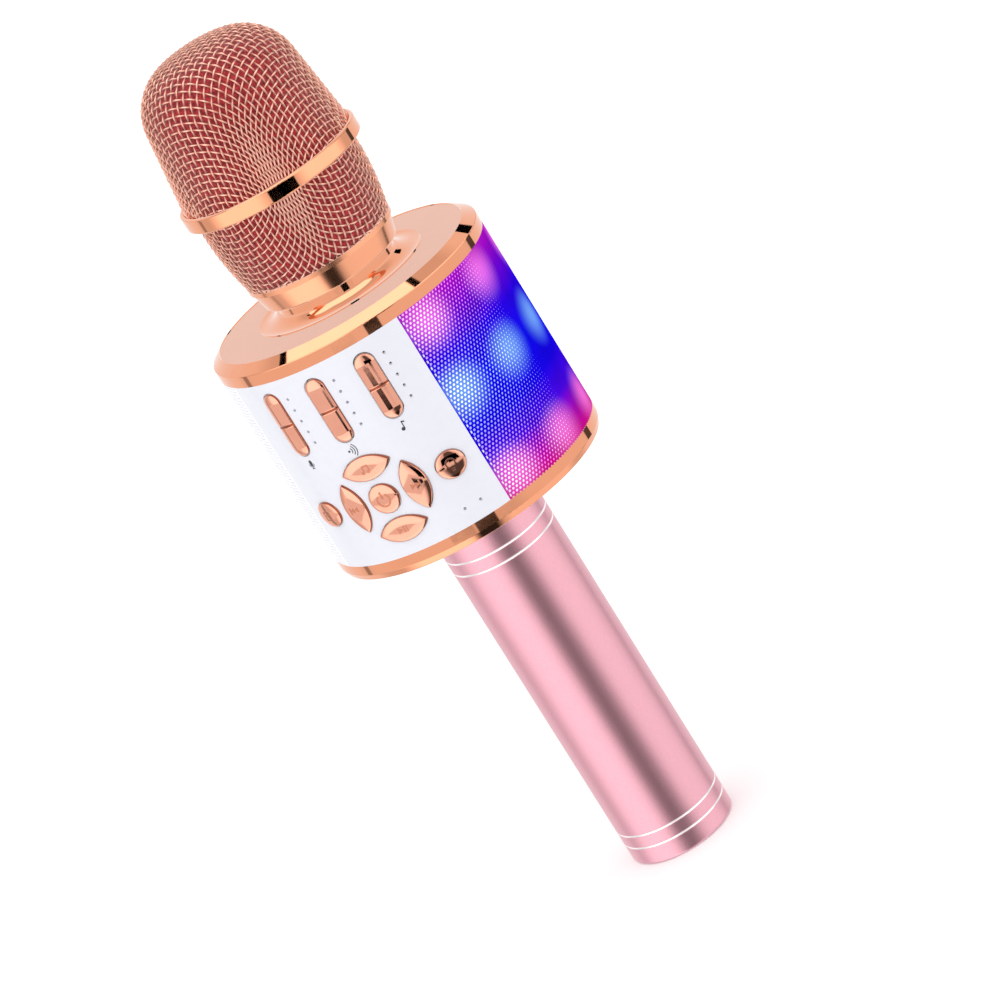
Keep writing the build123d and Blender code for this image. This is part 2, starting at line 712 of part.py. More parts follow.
def rocker_cradle():
    """Curved bar with a pair of bored ears for each rocker and two feet on the control board."""
    bar_r = ROCKER_PIVOT_R - TRUNNION_R - CRADLE_THICKNESS - 0.9
    bar_out = bar_r + CRADLE_THICKNESS
    span = ROCKER_ANGLE + 8
    cradle = sector(bar_r, bar_out, -CRADLE_HALF_HEIGHT, CRADLE_HALF_HEIGHT, -span, span)
    ear_x = ROCKER_WIDTH / 2 + SKIN_GAP + EAR_THICKNESS / 2
    ear_sketch = Rectangle(EAR_THICKNESS, 2 * EAR_HALF_HEIGHT)
    top_r = ROCKER_PIVOT_R + TRUNNION_R + 0.4
    bore = Cylinder(TRUNNION_R + RUNNING_GAP, 2 * ear_x + 4, rotation=(0, 90, 0))
    for angle in ROCKER_ANGLES.values():
        for side in (-1, 1):
            ear = at_radius(Pos(side * ear_x, 0) * ear_sketch, bar_r + 0.3, top_r)
            cradle += around(ear, angle)
        cradle -= around(Pos(0, -ROCKER_PIVOT_R, 0) * bore, angle)
    for side in (-1, 1):
        turn = math.radians(ROCKER_ANGLE / 2)
        x = side * bar_r * math.sin(turn)
        y_bar = -bar_r * math.cos(turn) - 0.3
        foot = box_between((x - 1.5, y_bar, -2.5), (x + 1.5, -BOARD_FACE, 2.5))
        cradle += foot
    return Pos(0, 0, Z_ROCKERS) * cradle


# ------------------------------------------------------------------ body skin
def window_places():
    """Angle and height of every small round window in the panel."""
    places = []
    for angle in ROCKER_ANGLES.values():
        for index in range(WINDOW_COUNT):
            rise = (index - (WINDOW_COUNT - 1) / 2) * WINDOW_PITCH
            places.append((angle + WINDOW_ANGLE_FROM_ROCKER, Z_ROCKERS + rise))
    for angle in LAMP_WINDOW_ANGLES:
        places.append((angle, Z_LAMP_WINDOWS))
    return places


def panel_blank():
    """Curved panel with the two ribs that locate it against the pillars."""
    edge = PANEL_HALF_ANGLE - math.degrees(SEAM_GAP / 2 / BODY_R)
    panel = sector(PANEL_INNER_R, BODY_R, Z_WALL_LOW, Z_WALL_TOP, -edge, edge)
    rib_low = Z_WALL_MIDDLE
    rib_high = Z_WALL_TOP - PLATE_THICKNESS - 1
    rib_half = math.degrees(RIB_THICKNESS / 2 / PANEL_INNER_R)
    rib_angle = pillar_angle() - pillar_half_angle() - rib_half - 0.4
    for side in (-1, 1):
        start = side * rib_angle - rib_half
        panel += sector(PANEL_INNER_R - RIB_DEPTH, PANEL_INNER_R + 0.5, rib_low, rib_high,
                        start, start + 2 * rib_half)
    return panel


def front_panel():
    """Control panel with openings for keys, rockers and windows."""
    panel = panel_blank()
    for name, (angle, rise) in KEYS.items():
        hole = at_radius(key_outline(name, KEY_GAP), BODY_R - 8, BODY_R + 2)
        panel -= Pos(0, 0, Z_KEYS + rise) * around(hole, angle)
    for angle in ROCKER_ANGLES.values():
        hole = at_radius(rocker_outline(KEY_GAP, ROCKER_END_GAP), BODY_R - 8, BODY_R + 2)
        panel -= Pos(0, 0, Z_ROCKERS) * around(hole, angle)
    for angle, z in window_places():
        panel -= Pos(0, 0, z) * around(at_radius(Circle(WINDOW_R), BODY_R - 5, BODY_R + 2), angle)
    return panel


def rear_panel():
    """Rear panel with the headphone, charging and card openings."""
    panel = Rot(0, 0, 180) * panel_blank()
    jack_hole = Cylinder(JACK_BODY_R + PORT_GAP, 20, rotation=(90, 0, 0))
    panel -= Pos(JACK_X, BODY_R, Z_WALL_MIDDLE - JACK_DROP) * jack_hole
    for x, drop, (width, height) in ((CHARGE_X, CHARGE_DROP, CHARGE_SIZE),
                                     (0, CARD_DROP, CARD_SIZE)):
        grown = (width + 2 * PORT_GAP, 20, height + 2 * PORT_GAP)
        panel -= Pos(x, BODY_R, Z_WALL_MIDDLE - drop) * Box(*grown)
    return panel


def side_grille():
    """Right perforated sheet with its side edges folded inwards."""
    start = PANEL_HALF_ANGLE + math.degrees(SEAM_GAP / 2 / BODY_R)
    end = 180 - start
    sheet = sector(BODY_R - GRILLE_THICKNESS, BODY_R, Z_WALL_LOW, Z_WALL_TOP, start, end)
    hem = math.degrees(GRILLE_HEM / BODY_R)
    for first in (start, end - hem):
        sheet += sector(PANEL_INNER_R, BODY_R - GRILLE_THICKNESS / 2, Z_WALL_LOW, Z_WALL_TOP,
                        first, first + hem)
    return sheet


def diffuser():
    """Right translucent film bonded behind the perforated sheet."""
    start = PANEL_HALF_ANGLE + math.degrees((GRILLE_HEM + 4 * SEAM_GAP) / BODY_R)
    return sector(DIFFUSER_R - DIFFUSER_THICKNESS, DIFFUSER_R, Z_WALL_LOW + SEAT_GAP,
                  Z_WALL_TOP - SEAT_GAP, start, 180 - start)


def led_strip():
    """Right flexible film with its lamps, open in front of the loudspeaker cone."""
    start = pillar_angle() + pillar_half_angle() + LED_EDGE_ANGLE / 2
    film_out = LED_FILM_R + LED_FILM
    z_low = Z_WALL_LOW + PLATE_THICKNESS + 1
    z_high = Z_WALL_TOP - PLATE_THICKNESS - 1
    film = sector(LED_FILM_R, film_out, z_low, z_high, start, 180 - start)
    window = Cylinder(CONE_R, BODY_R, rotation=(0, 90, 0))
    film -= Pos(BODY_R, 0, Z_WALL_MIDDLE) * window
    bridge_z = LED_ROWS[1][0]
    film += sector(LED_FILM_R, film_out, bridge_z - LED_BRIDGE / 2, bridge_z + LED_BRIDGE / 2,
                   start, 180 - start)
    for level, first, step, count in LED_ROWS:
        for index in range(count):
            lamp = at_radius(Rectangle(LED_SIZE, LED_SIZE), LED_FILM_R + LED_FILM / 2,
                             film_out + LED_HEIGHT)
            film += Pos(0, 0, level) * around(lamp, first + step * index)
    return film


def light_guides():
    """Clear bars behind the level windows, and one behind the two lamp windows."""
    outer = PANEL_INNER_R - SEAT_GAP
    half = math.degrees(GUIDE_WIDTH / 2 / PANEL_INNER_R)
    length = (WINDOW_COUNT - 1) * WINDOW_PITCH / 2 + 1.2
    guides = []
    for angle in ROCKER_ANGLES.values():
        middle = angle + WINDOW_ANGLE_FROM_ROCKER
        guides.append(sector(outer - GUIDE_THICKNESS, outer, Z_ROCKERS - length,
                             Z_ROCKERS + length, middle - half, middle + half))
    lamp_z = Z_LAMP_WINDOWS
    first, last = LAMP_WINDOW_ANGLES
    guides.append(sector(outer - GUIDE_THICKNESS, outer, lamp_z - 1, lamp_z + 1,
                         first - half, last + half))
    return guides


# ------------------------------------------------------------------ chassis
def pillar_angle():
    """Angle of the pillar behind each seam between a panel and a grille."""
    return PANEL_HALF_ANGLE - 1.2


def pillar_half_angle():
    """Half of the angle that a pillar covers."""
    return math.degrees(PILLAR_WIDTH / 2 / CHASSIS_R)


def block_places():
    """X and lowest z of the blocks that the boards are screwed to."""
    height = BLOCK_SIZE[2]
    low = Z_WALL_LOW + PLATE_THICKNESS
    high = Z_WALL_TOP - PLATE_THICKNESS - height
    return [(x, z) for x in (-BLOCK_X, BLOCK_X) for z in (low, high)]


def chassis():
    """Moulded frame: two plates, four pillars, speaker baffles, board blocks and spigot."""
    frame = disc(CHASSIS_R, Z_WALL_LOW, Z_WALL_LOW + PLATE_THICKNESS)
    frame += disc(CHASSIS_R, Z_WALL_TOP - PLATE_THICKNESS, Z_WALL_TOP)
    for middle in (pillar_angle(), 180 - pillar_angle(), -pillar_angle(), pillar_angle() - 180):
        frame += sector(CHASSIS_R - PILLAR_DEPTH, CHASSIS_R, Z_WALL_LOW, Z_WALL_TOP,
                        middle - pillar_half_angle(), middle + pillar_half_angle())
    baffle = box_between((BAFFLE_X, -BAFFLE_HALF_WIDTH, Z_WALL_LOW),
                         (BAFFLE_X + BAFFLE_THICKNESS, BAFFLE_HALF_WIDTH, Z_WALL_TOP))
    window = Cylinder(CONE_R + 0.5, BODY_R, rotation=(0, 90, 0))
    baffle -= Pos(BODY_R, 0, Z_WALL_MIDDLE) * window
    frame += mirrored_pair(baffle)
    width, depth, height = BLOCK_SIZE
    inner_face = BOARD_FACE - BOARD_THICKNESS - SEAT_GAP
    for side in (-1, 1):
        for x, z in block_places():
            y_edges = sorted((side * inner_face, side * (inner_face - depth)))
            frame += box_between((x - width / 2, y_edges[0], z),
                                 (x + width / 2, y_edges[1], z + height))
            hole = Cylinder(SCREW_R + SCREW_HOLE_GAP, BOARD_SCREW_LENGTH, rotation=(90, 0, 0))
            hole_y = side * (inner_face - BOARD_SCREW_LENGTH / 2)
            frame -= Pos(x, hole_y, z + height / 2) * hole
    frame += disc(SPIGOT_R, Z_WALL_LOW - LOW_RING_HEIGHT - SPIGOT_LENGTH, Z_WALL_LOW)
    frame -= disc(SPIGOT_R - SPIGOT_WALL, 0, Z_WALL_LOW + PLATE_THICKNESS)
    frame -= disc(LEAD_HOLE_R * 2, Z_WALL_TOP - PLATE_THICKNESS, Z_WALL_TOP)
    upper = cover_screw_places() + neck_screw_places()
    frame -= screw_holes(upper, Z_WALL_TOP - PLATE_THICKNESS, PLATE_THICKNESS)
    return frame - screw_holes(cover_screw_places(), Z_WALL_LOW, PLATE_THICKNESS)


# ------------------------------------------------------------------ loudspeakers (right one)
def speaker_frame():
    """Pressed frame: flange behind the baffle and a tapering bowl to the magnet."""
    front = BAFFLE_X - GASKET_THICKNESS
    flange_back = front - SPEAKER_FLANGE
    back = flange_back - SPEAKER_FRAME_DEPTH
    bowl_r = CONE_R + 1.2
    outline = Polyline(
        (CONE_R + 0.4, 0, front), (SPEAKER_R, 0, front), (SPEAKER_R, 0, flange_back),
        (bowl_r + SPEAKER_METAL, 0, flange_back), (SPEAKER_BACK_R, 0, back),
        (MAGNET_R - 6, 0, back), (MAGNET_R - 6, 0, back + SPEAKER_METAL),
        (SPEAKER_BACK_R - SPEAKER_METAL, 0, back + SPEAKER_METAL),
        (CONE_R + 0.4, 0, flange_back), close=True)
    return speaker_place(revolve(make_face(outline), Axis.Z))


def speaker_place(shape):
    """Stand a speaker piece, made along +Z, along +X at the middle of the wall."""
    return Pos(0, 0, Z_WALL_MIDDLE) * Rot(0, 90, 0) * shape


def speaker_cone():
    """Cone, surround roll and dust cap as one thin shell."""
    front = BAFFLE_X - GASKET_THICKNESS
    neck_r = DUST_CAP_R
    deep = front - CONE_DEPTH
    t = CONE_THICKNESS
    outline = [
        Line((0, front - 2.2), (0, front - 2.2 - t)),
        Line((0, front - 2.2 - t), (neck_r, deep - t)),
        Line((neck_r, deep - t), (CONE_R - 3, front - t)),
        ThreePointArc((CONE_R - 3, front - t), (CONE_R - 1.5, front + 0.9 - t), (CONE_R, front - t)),
        Line((CONE_R, front - t), (CONE_R, front)),
        ThreePointArc((CONE_R, front), (CONE_R - 1.5, front + 1.1), (CONE_R - 3, front)),
        Line((CONE_R - 3, front), (neck_r, deep + 0.2)),
        Line((neck_r, deep + 0.2), (0, front - 2.2)),
    ]
    return speaker_place(revolve(Plane.XZ * make_face(outline), Axis.Z))


def speaker_magnet():
    """Magnet with its centre pole, behind the frame."""
    back = BAFFLE_X - GASKET_THICKNESS - SPEAKER_FLANGE - SPEAKER_FRAME_DEPTH
    magnet = disc(MAGNET_R, back - MAGNET_THICKNESS, back)
    return speaker_place(magnet + disc(DUST_CAP_R - 1, back, back + SPEAKER_METAL))


def speaker_gasket():
    """Foam ring between the flange and the baffle."""
    ring = tube(SPEAKER_R, CONE_R + 1.5, BAFFLE_X - GASKET_THICKNESS, BAFFLE_X)
    return speaker_place(ring)


# ------------------------------------------------------------------ boards
def board_blank():
    """Board that stands between the plates, with a hole at each block."""
    z_low = Z_WALL_LOW + PLATE_THICKNESS + SEAT_GAP
    z_high = Z_WALL_TOP - PLATE_THICKNESS - SEAT_GAP
    board = box_between((-BOARD_HALF_WIDTH, -BOARD_FACE, z_low),
                        (BOARD_HALF_WIDTH, BOARD_THICKNESS - BOARD_FACE, z_high))
    for x, z in block_places():
        hole = Cylinder(SCREW_R + SCREW_HOLE_GAP, 4 * BOARD_THICKNESS, rotation=(90, 0, 0))
        board -= Pos(x, -BOARD_FACE, z + BLOCK_SIZE[2] / 2) * hole
    return board


def main_board():
    """Rear board, notched where the connector bodies stand through it."""
    board = Rot(0, 0, 180) * board_blank()
    for shape in (jack_body(PORT_GAP), charge_body(PORT_GAP), card_body(PORT_GAP)):
        board -= shape
    return board


def board_screws():
    """Four screws through each board into its blocks."""
    screws = []
    shank = BOARD_SCREW_LENGTH - 1
    for x, z in block_places():
        head = Pos(0, -BOARD_FACE - SCREW_HEAD / 2, 0)
        screw = head * Cylinder(SCREW_HEAD_R, SCREW_HEAD, rotation=(90, 0, 0))
        length = BOARD_THICKNESS + shank
        screw += Pos(0, -BOARD_FACE + length / 2, 0) * Cylinder(SCREW_R, length, rotation=(90, 0, 0))
        screw = Pos(x, 0, z + BLOCK_SIZE[2] / 2) * screw
        screws.append(screw)
        screws.append(mirror(screw, Plane.XZ))
    return screws


def tact_switches():
    """One switch behind each key and two behind each rocker."""
    places = []
    for angle, rise in KEYS.values():
        places.append((SWITCH_TOP * math.tan(math.radians(angle)), Z_KEYS + rise))
    for angle in ROCKER_ANGLES.values():
        for side in (-1, 1):
            x = SWITCH_TOP * math.tan(math.radians(angle))
            places.append((x, Z_ROCKERS + side * LEG_OFFSET))
    half = SWITCH_SIZE / 2
    switches = []
    for x, z in places:
        body = box_between((x - half, -BOARD_FACE - SWITCH_BODY, z - half),
                           (x + half, -BOARD_FACE, z + half))
        stem = Cylinder(SWITCH_STEM_R, SWITCH_STEM, rotation=(90, 0, 0))
        body += Pos(x, -SWITCH_TOP + SWITCH_STEM / 2, z) * stem
        switches.append(body)
    return switches


def board_chips():
    """Radio module, amplifier, processor and two capacitors on the inside of the main board."""
    inner = BOARD_FACE - BOARD_THICKNESS
    chips = []
    for x, rise, width, height, thick in (
        (0, 14.5, 14, 9, 2.2), (-9, 5, 6, 8, 1.4), (8, 5, 8, 8, 1.2), (-9, -4, 4, 4, 1.0),
    ):
        z = Z_WALL_MIDDLE + rise
        chips.append(box_between((x - width / 2, inner - thick, z - height / 2),
                                 (x + width / 2, inner, z + height / 2)))
    for x in (-3.2, 1.6):
        can = Cylinder(2.3, 5.5, rotation=(90, 0, 0))
        chips.append(Pos(x, inner - 2.75, Z_WALL_MIDDLE + 3.5) * can)
    return chips


def jack_body(grow):
    """Barrel of the headphone jack, solid and grown by a margin."""
    front = PANEL_INNER_R - SEAT_GAP
    barrel = Cylinder(JACK_BODY_R + grow, JACK_DEPTH, rotation=(90, 0, 0))
    return Pos(JACK_X, front - JACK_DEPTH / 2, Z_WALL_MIDDLE - JACK_DROP) * barrel


def phone_jack():
    """Headphone jack with its round bore open to the rear."""
    front = PANEL_INNER_R - SEAT_GAP
    bore = Cylinder(JACK_BORE_R, JACK_DEPTH, rotation=(90, 0, 0))
    return jack_body(0) - Pos(JACK_X, front + 1 - JACK_DEPTH / 2, Z_WALL_MIDDLE - JACK_DROP) * bore


def charge_body(grow):
    """Shell of the charging port, solid and grown by a margin."""
    width, height = CHARGE_SIZE
    low = (CHARGE_X - width / 2 - grow, BOARD_FACE - 2, Z_WALL_MIDDLE - CHARGE_DROP - height / 2 - grow)
    high = (CHARGE_X + width / 2 + grow, PANEL_INNER_R - SEAT_GAP,
            Z_WALL_MIDDLE - CHARGE_DROP + height / 2 + grow)
    return box_between(low, high)


def card_body(grow):
    """Shell of the card slot, solid and grown by a margin."""
    width, height = CARD_SIZE
    low = (-width / 2 - grow, BOARD_FACE - 4, Z_WALL_MIDDLE - CARD_DROP - height / 2 - grow)
    high = (width / 2 + grow, PANEL_INNER_R - SEAT_GAP, Z_WALL_MIDDLE - CARD_DROP + height / 2 + grow)
    return box_between(low, high)


def charge_port():
    """Charging port: metal shell around a tongue."""
    width, height = CHARGE_SIZE
    shell = charge_body(0)
    mouth = Box(width - 2 * CHARGE_WALL, 14, height - 2 * CHARGE_WALL)
    z = Z_WALL_MIDDLE - CHARGE_DROP
    shell -= Pos(CHARGE_X, PANEL_INNER_R - 0.1 + 7 - 8, z) * mouth
    tongue = box_between((CHARGE_X - width / 4, BOARD_FACE - 1, z - 0.35),
                         (CHARGE_X + width / 4, PANEL_INNER_R - 1.5, z + 0.35))
    return shell + tongue


def card_slot():
    """Card slot: thin metal shell open to the rear."""
    width, height = CARD_SIZE
    mouth = Box(width - 2 * CARD_WALL, 30, height - 2 * CARD_WALL)
    return card_body(0) - Pos(0, BOARD_FACE + 15 - 3, Z_WALL_MIDDLE - CARD_DROP) * mouth


# ------------------------------------------------------------------ handle
def handle_tube():
    """Handle tube with a rounded lower edge and four turned grooves."""
    sleeve = tube(HANDLE_R, TUBE_BORE_R, 0, HANDLE_LENGTH)
    lowest = sleeve.edges().filter_by(GeomType.CIRCLE).sort_by(Axis.Z)
    rim = [edge for edge in lowest if edge.center().Z < 1 and edge.radius > HANDLE_R - 0.1]
    sleeve = fillet(rim, HANDLE_END_ROUND)
    levels = list(GROOVES_FROM_END) + [HANDLE_LENGTH - drop for drop in GROOVES_FROM_BODY]
    for z in levels:
        half = GROOVE_WIDTH / 2
        sleeve -= turned((HANDLE_R - GROOVE_DEPTH, z), (HANDLE_R + 1, z + half * 4.3),
                         (HANDLE_R + 1, z - half * 4.3))
    return sleeve


def end_cap():
    """Cap pressed into the lower end, flush with the tube."""
    plug_r = TUBE_BORE_R - SEAT_GAP
    cap = disc(plug_r, 0, CAP_FLANGE)
    return cap + tube(plug_r, plug_r - CAP_PLUG_WALL, 0, CAP_PLUG_LENGTH)


def battery_carrier():
    """Ribbed sleeve that centres the cell in the handle."""
    z_low = CAP_PLUG_LENGTH + SEAT_GAP
    z_high = z_low + CARRIER_FLOOR + CELL_LENGTH + 6
    inner = CELL_R + 2 * SEAT_GAP
    carrier = tube(inner + CARRIER_WALL, inner, z_low, z_high)
    carrier += disc(inner + CARRIER_WALL, z_low, z_low + CARRIER_FLOOR)
    reach = TUBE_BORE_R - SEAT_GAP
    for index in range(CARRIER_RIBS):
        rib = box_between((-0.8, -reach, z_low), (0.8, -inner - 0.5, z_high))
        carrier += around(rib, index * 360 / CARRIER_RIBS)
    return carrier


def battery_cell():
    """Cylindrical cell with its raised pole."""
    z_low = CAP_PLUG_LENGTH + CARRIER_FLOOR + 2 * SEAT_GAP
    body = disc(CELL_R, z_low, z_low + CELL_LENGTH - 1)
    return body + disc(3.0, z_low + CELL_LENGTH - 1, z_low + CELL_LENGTH)


def battery_board():
    """Protection board on top of the cell's pole."""
    width, depth, thick = PROTECTION_BOARD
    z_low = CAP_PLUG_LENGTH + CARRIER_FLOOR + CELL_LENGTH + 3 * SEAT_GAP
    return box_between((-width / 2, -depth / 2, z_low), (width / 2, depth / 2, z_low + thick))


# ------------------------------------------------------------------ leads held inside
def lead(*points):
    """Round lead along straight runs joined by arcs as large as the runs allow."""
    route = [Vector(*point) for point in points]
    radii = []
    for before, here, after in zip(route, route[1:], route[2:]):
        turn = math.radians((here - before).get_angle(after - here))
        shorter = min((here - before).length, (after - here).length)
        radii.append(0.45 * shorter / math.tan(turn / 2))
    path = FilletPolyline(*route, radius=radii)
    start = Plane(origin=route[0], z_dir=(route[1] - route[0]).normalized())
    return sweep(start * Circle(LEAD_R), path=path)


def battery_lead():
    """Lead from the protection board up through the spigot to the main board."""
    z_low = CAP_PLUG_LENGTH + CARRIER_FLOOR + CELL_LENGTH + 3 * SEAT_GAP + PROTECTION_BOARD[2]
    z_end = z_low + 56
    back = BOARD_FACE - BOARD_THICKNESS - SEAT_GAP
    return lead((0, 0, z_low + SEAT_GAP), (0, 0, z_low + 22), (0, 3.5, z_low + 42),
                (0, 13, z_end), (0, back, z_end))


def capsule_lead():
    """Lead from the capsule down through its cup to the main board."""
    z_top = Z_CAPSULE_CUP_TOP + MOUNT_WALL
    z_end = Z_WALL_MIDDLE + 8
    back = BOARD_FACE - BOARD_THICKNESS - SEAT_GAP
    z_plate = Z_WALL_TOP - PLATE_THICKNESS
    return lead((0, 0, z_top - SEAT_GAP), (0, 0, z_plate), (0, 4, z_plate - 12), (0, 14, z_end),
                (0, back, z_end))


def speaker_lead():
    """Lead from the right speaker's frame to the main board."""
    back = BOARD_FACE - BOARD_THICKNESS - SEAT_GAP
    z = Z_WALL_MIDDLE
    return lead((SPEAKER_R, 18.4, z), (SPEAKER_R - 1.5, 20.6, z), (16.0, back - 2.2, z),
                (16.0, back, z))


# ------------------------------------------------------------------ everything
def main():
    os.makedirs("parts", exist_ok=True)
    save("grille_dome", grille_dome())
    save("grille_ring", grille_ring())
    save("grille_basket", grille_basket())
    save("head_collar", head_collar())
    save("foam_windscreen", foam_windscreen())
    save("thread_washer", thread_washer())
    save("capsule", capsule())
    save("capsule_mount", capsule_mount())
    save("capsule_cup", capsule_cup())
    save("neck_flange", neck_flange())
    save("top_cover", top_cover())
    save("top_trim_ring", top_trim_ring())
    save("bottom_trim_ring", bottom_trim_ring())
    save("bottom_cover", bottom_cover())
    save("body_screws", *body_screws())
    save("chassis", chassis())
    save("front_panel", front_panel())
    save("rear_panel", rear_panel())
    for name, shape in (("grille", side_grille()), ("diffuser", diffuser()),
                        ("led_strip", led_strip())):
        right, left = mirrored_pair(shape)
        save(f"{name}_right", right)
        save(f"{name}_left", left)
    for name, shape in (("frame", speaker_frame()), ("cone", speaker_cone()),
                        ("magnet", speaker_magnet())):
        right, left = mirrored_pair(shape)
        save(f"speaker_right_{name}", right)
        save(f"speaker_left_{name}", left)
    save("speaker_gaskets", *mirrored_pair(speaker_gasket()))
    save("light_guides", *light_guides())
    save("rocker_cradle", rocker_cradle())
    for name in ROCKER_ANGLES:
        save(name, rocker(name))
    for name in KEYS:
        save(name, key(name))
    save("control_board", board_blank())
    save("tact_switches", *tact_switches())
    save("main_board", main_board())
    save("board_chips", *board_chips())
    save("board_screws", *board_screws())
    save("phone_jack", phone_jack())
    save("charge_port", charge_port())
    save("card_slot", card_slot())
    save("handle_tube", handle_tube())
    save("end_cap", end_cap())
    save("battery_carrier", battery_carrier())
    save("battery_cell", battery_cell())
    save("battery_board", battery_board())
    save("battery_lead", battery_lead())
    save("capsule_lead", capsule_lead())
    save("speaker_leads", *mirrored_pair(speaker_lead()))


if __name__ == "__main__":
    main()
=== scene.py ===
"""Looks of the karaoke microphone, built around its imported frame."""

import logging
import math
from dataclasses import dataclass, field
from enum import Enum
from typing import Any, Sequence

import bmesh
import bpy
import numpy
from mathutils import Matrix, Vector


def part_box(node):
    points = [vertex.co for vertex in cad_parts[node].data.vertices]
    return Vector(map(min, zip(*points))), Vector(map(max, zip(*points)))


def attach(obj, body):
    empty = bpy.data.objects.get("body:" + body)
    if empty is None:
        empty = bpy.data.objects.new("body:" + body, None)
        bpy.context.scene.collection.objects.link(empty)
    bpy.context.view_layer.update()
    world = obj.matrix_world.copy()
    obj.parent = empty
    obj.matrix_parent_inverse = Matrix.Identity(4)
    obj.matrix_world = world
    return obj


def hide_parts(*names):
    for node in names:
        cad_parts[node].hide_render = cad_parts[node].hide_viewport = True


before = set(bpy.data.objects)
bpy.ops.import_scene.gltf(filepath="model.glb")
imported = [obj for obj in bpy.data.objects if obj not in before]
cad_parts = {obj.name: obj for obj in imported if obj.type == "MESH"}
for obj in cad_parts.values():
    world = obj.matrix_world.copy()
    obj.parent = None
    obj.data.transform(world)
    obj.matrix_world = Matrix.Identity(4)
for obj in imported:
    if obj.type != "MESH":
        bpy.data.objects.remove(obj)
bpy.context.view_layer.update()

MM = 0.001
TURN = 2 * math.pi
CAMERA_AZIMUTH = 29.2
GROOVE_LEVELS_MM = (5.7, 9.7, 97.5, 101.4)
log = logging.getLogger("microphone")


class Slot(str, Enum):
    """Material slots of the record that the pieces take their finish from."""

    WOVEN_WIRE = "woven_wire"
    ROSE_MIRROR = "rose_mirror"
    ROSE_SATIN = "rose_satin"
    ROSE_KEY = "rose_key"
    RED_FOAM = "red_foam"
    WASHER_FIBRE = "washer_fibre"
    CAPSULE_METAL = "capsule_metal"
    BLACK_RUBBER = "black_rubber"
    BLACK_PLASTIC = "black_plastic"
    CHASSIS_PLASTIC = "chassis_plastic"
    SCREW_STEEL = "screw_steel"
    WHITE_PANEL = "white_panel"
    PUNCHED_SHEET = "punched_sheet"
    DIFFUSER_FILM = "diffuser_film"
    LED_FILM = "led_film"
    CLEAR_GUIDE = "clear_guide"
    CIRCUIT_BOARD = "circuit_board"
    SWITCH_BLACK = "switch_black"
    CHIP_BLACK = "chip_black"
    PORT_METAL = "port_metal"
    BLACK_STEEL = "black_steel"
    PAPER_CONE = "paper_cone"
    MAGNET_FERRITE = "magnet_ferrite"
    PINK_ANODISED = "pink_anodised"
    PINK_CAP = "pink_cap"
    CELL_WRAP = "cell_wrap"
    LEAD_JACKET = "lead_jacket"


class Side(Enum):
    """Which side of the body a perforated window is on, by the sign of X."""

    RIGHT = 1
    LEFT = -1


# ---------------------------------------------------------------- small tools


def linear(code: str) -> tuple[float, float, float, float]:
    """Turns an sRGB hex colour into the linear colour that shader sockets take.

    Args:
        code: six hex digits.

    Returns:
        Linear red, green, blue and an alpha of 1.
    """
    parts = [int(code[i : i + 2], 16) / 255 for i in (0, 2, 4)]
    red, green, blue = (c / 12.92 if c <= 0.04045 else ((c + 0.055) / 1.055) ** 2.4 for c in parts)
    return red, green, blue, 1.0


def add(
    tree: bpy.types.NodeTree, kind: str, settings: dict[str, Any], inputs: dict[Any, Any]
) -> bpy.types.Node:
    """Adds a shader node with its settings and its inputs.

    Args:
        tree: the node tree.
        kind: the node's type name.
        settings: the node's own properties.
        inputs: a value, or the output socket to link, for each input socket.

    Returns:
        The new node.
    """
    node = tree.nodes.new(kind)
    for name, value in settings.items():
        setattr(node, name, value)
    for name, value in inputs.items():
        if isinstance(value, bpy.types.NodeSocket):
            tree.links.new(value, node.inputs[name])
        else:
            node.inputs[name].default_value = value
    return node


def new_material(name: str) -> tuple[bpy.types.Material, bpy.types.NodeTree, bpy.types.NodeSocket]:
    """Makes an empty node material.

    Args:
        name: the material's name.

    Returns:
        The material, its tree and the Object coordinates that its patterns read.
    """
    material = bpy.data.materials.new(name)
    material.use_nodes = True
    tree = material.node_tree
    tree.nodes.clear()
    place = add(tree, "ShaderNodeTexCoord", {}, {}).outputs["Object"]
    return material, tree, place


def close_material(
    tree: bpy.types.NodeTree, height: bpy.types.NodeSocket, depth: float, relief_mm: float,
    inputs: dict[str, Any]
) -> None:
    """Joins a surface's relief and its shader to the material's output.

    Args:
        tree: the material's tree.
        height: the pattern that the relief follows.
        depth: the share of the relief that shows, from 0 to 1.
        relief_mm: the relief's full height, in millimetres.
        inputs: the shader's own inputs.
    """
    bump = add(tree, "ShaderNodeBump", {}, {
        "Height": height, "Strength": depth, "Distance": relief_mm * MM})
    shader = add(tree, "ShaderNodeBsdfPrincipled", {}, {"Normal": bump.outputs["Normal"], **inputs})
    add(tree, "ShaderNodeOutputMaterial", {}, {"Surface": shader.outputs["BSDF"]})


def new_piece(
    name: str, bm: bmesh.types.BMesh, body: str, material: bpy.types.Material,
    smooth: bool = True
) -> bpy.types.Object:
    """Turns a finished bmesh into a piece that rides on a body.

    Args:
        name: the piece's name.
        bm: its mesh, in metres, in the frame's own axes. It is freed here.
        body: the CAD body that it rides on.
        material: its finish.
        smooth: whether its faces are shaded smooth.

    Returns:
        The new object.
    """
    mesh = bpy.data.meshes.new(name)
    bm.to_mesh(mesh)
    bm.free()
    for face in mesh.polygons:
        face.use_smooth = smooth
    piece = bpy.data.objects.new(name, mesh)
    bpy.context.collection.objects.link(piece)
    mesh.materials.append(material)
    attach(piece, body)
    piece.visible_glossy = False
    log.info("%s: %d faces on %s", name, len(mesh.polygons), body)
    return piece


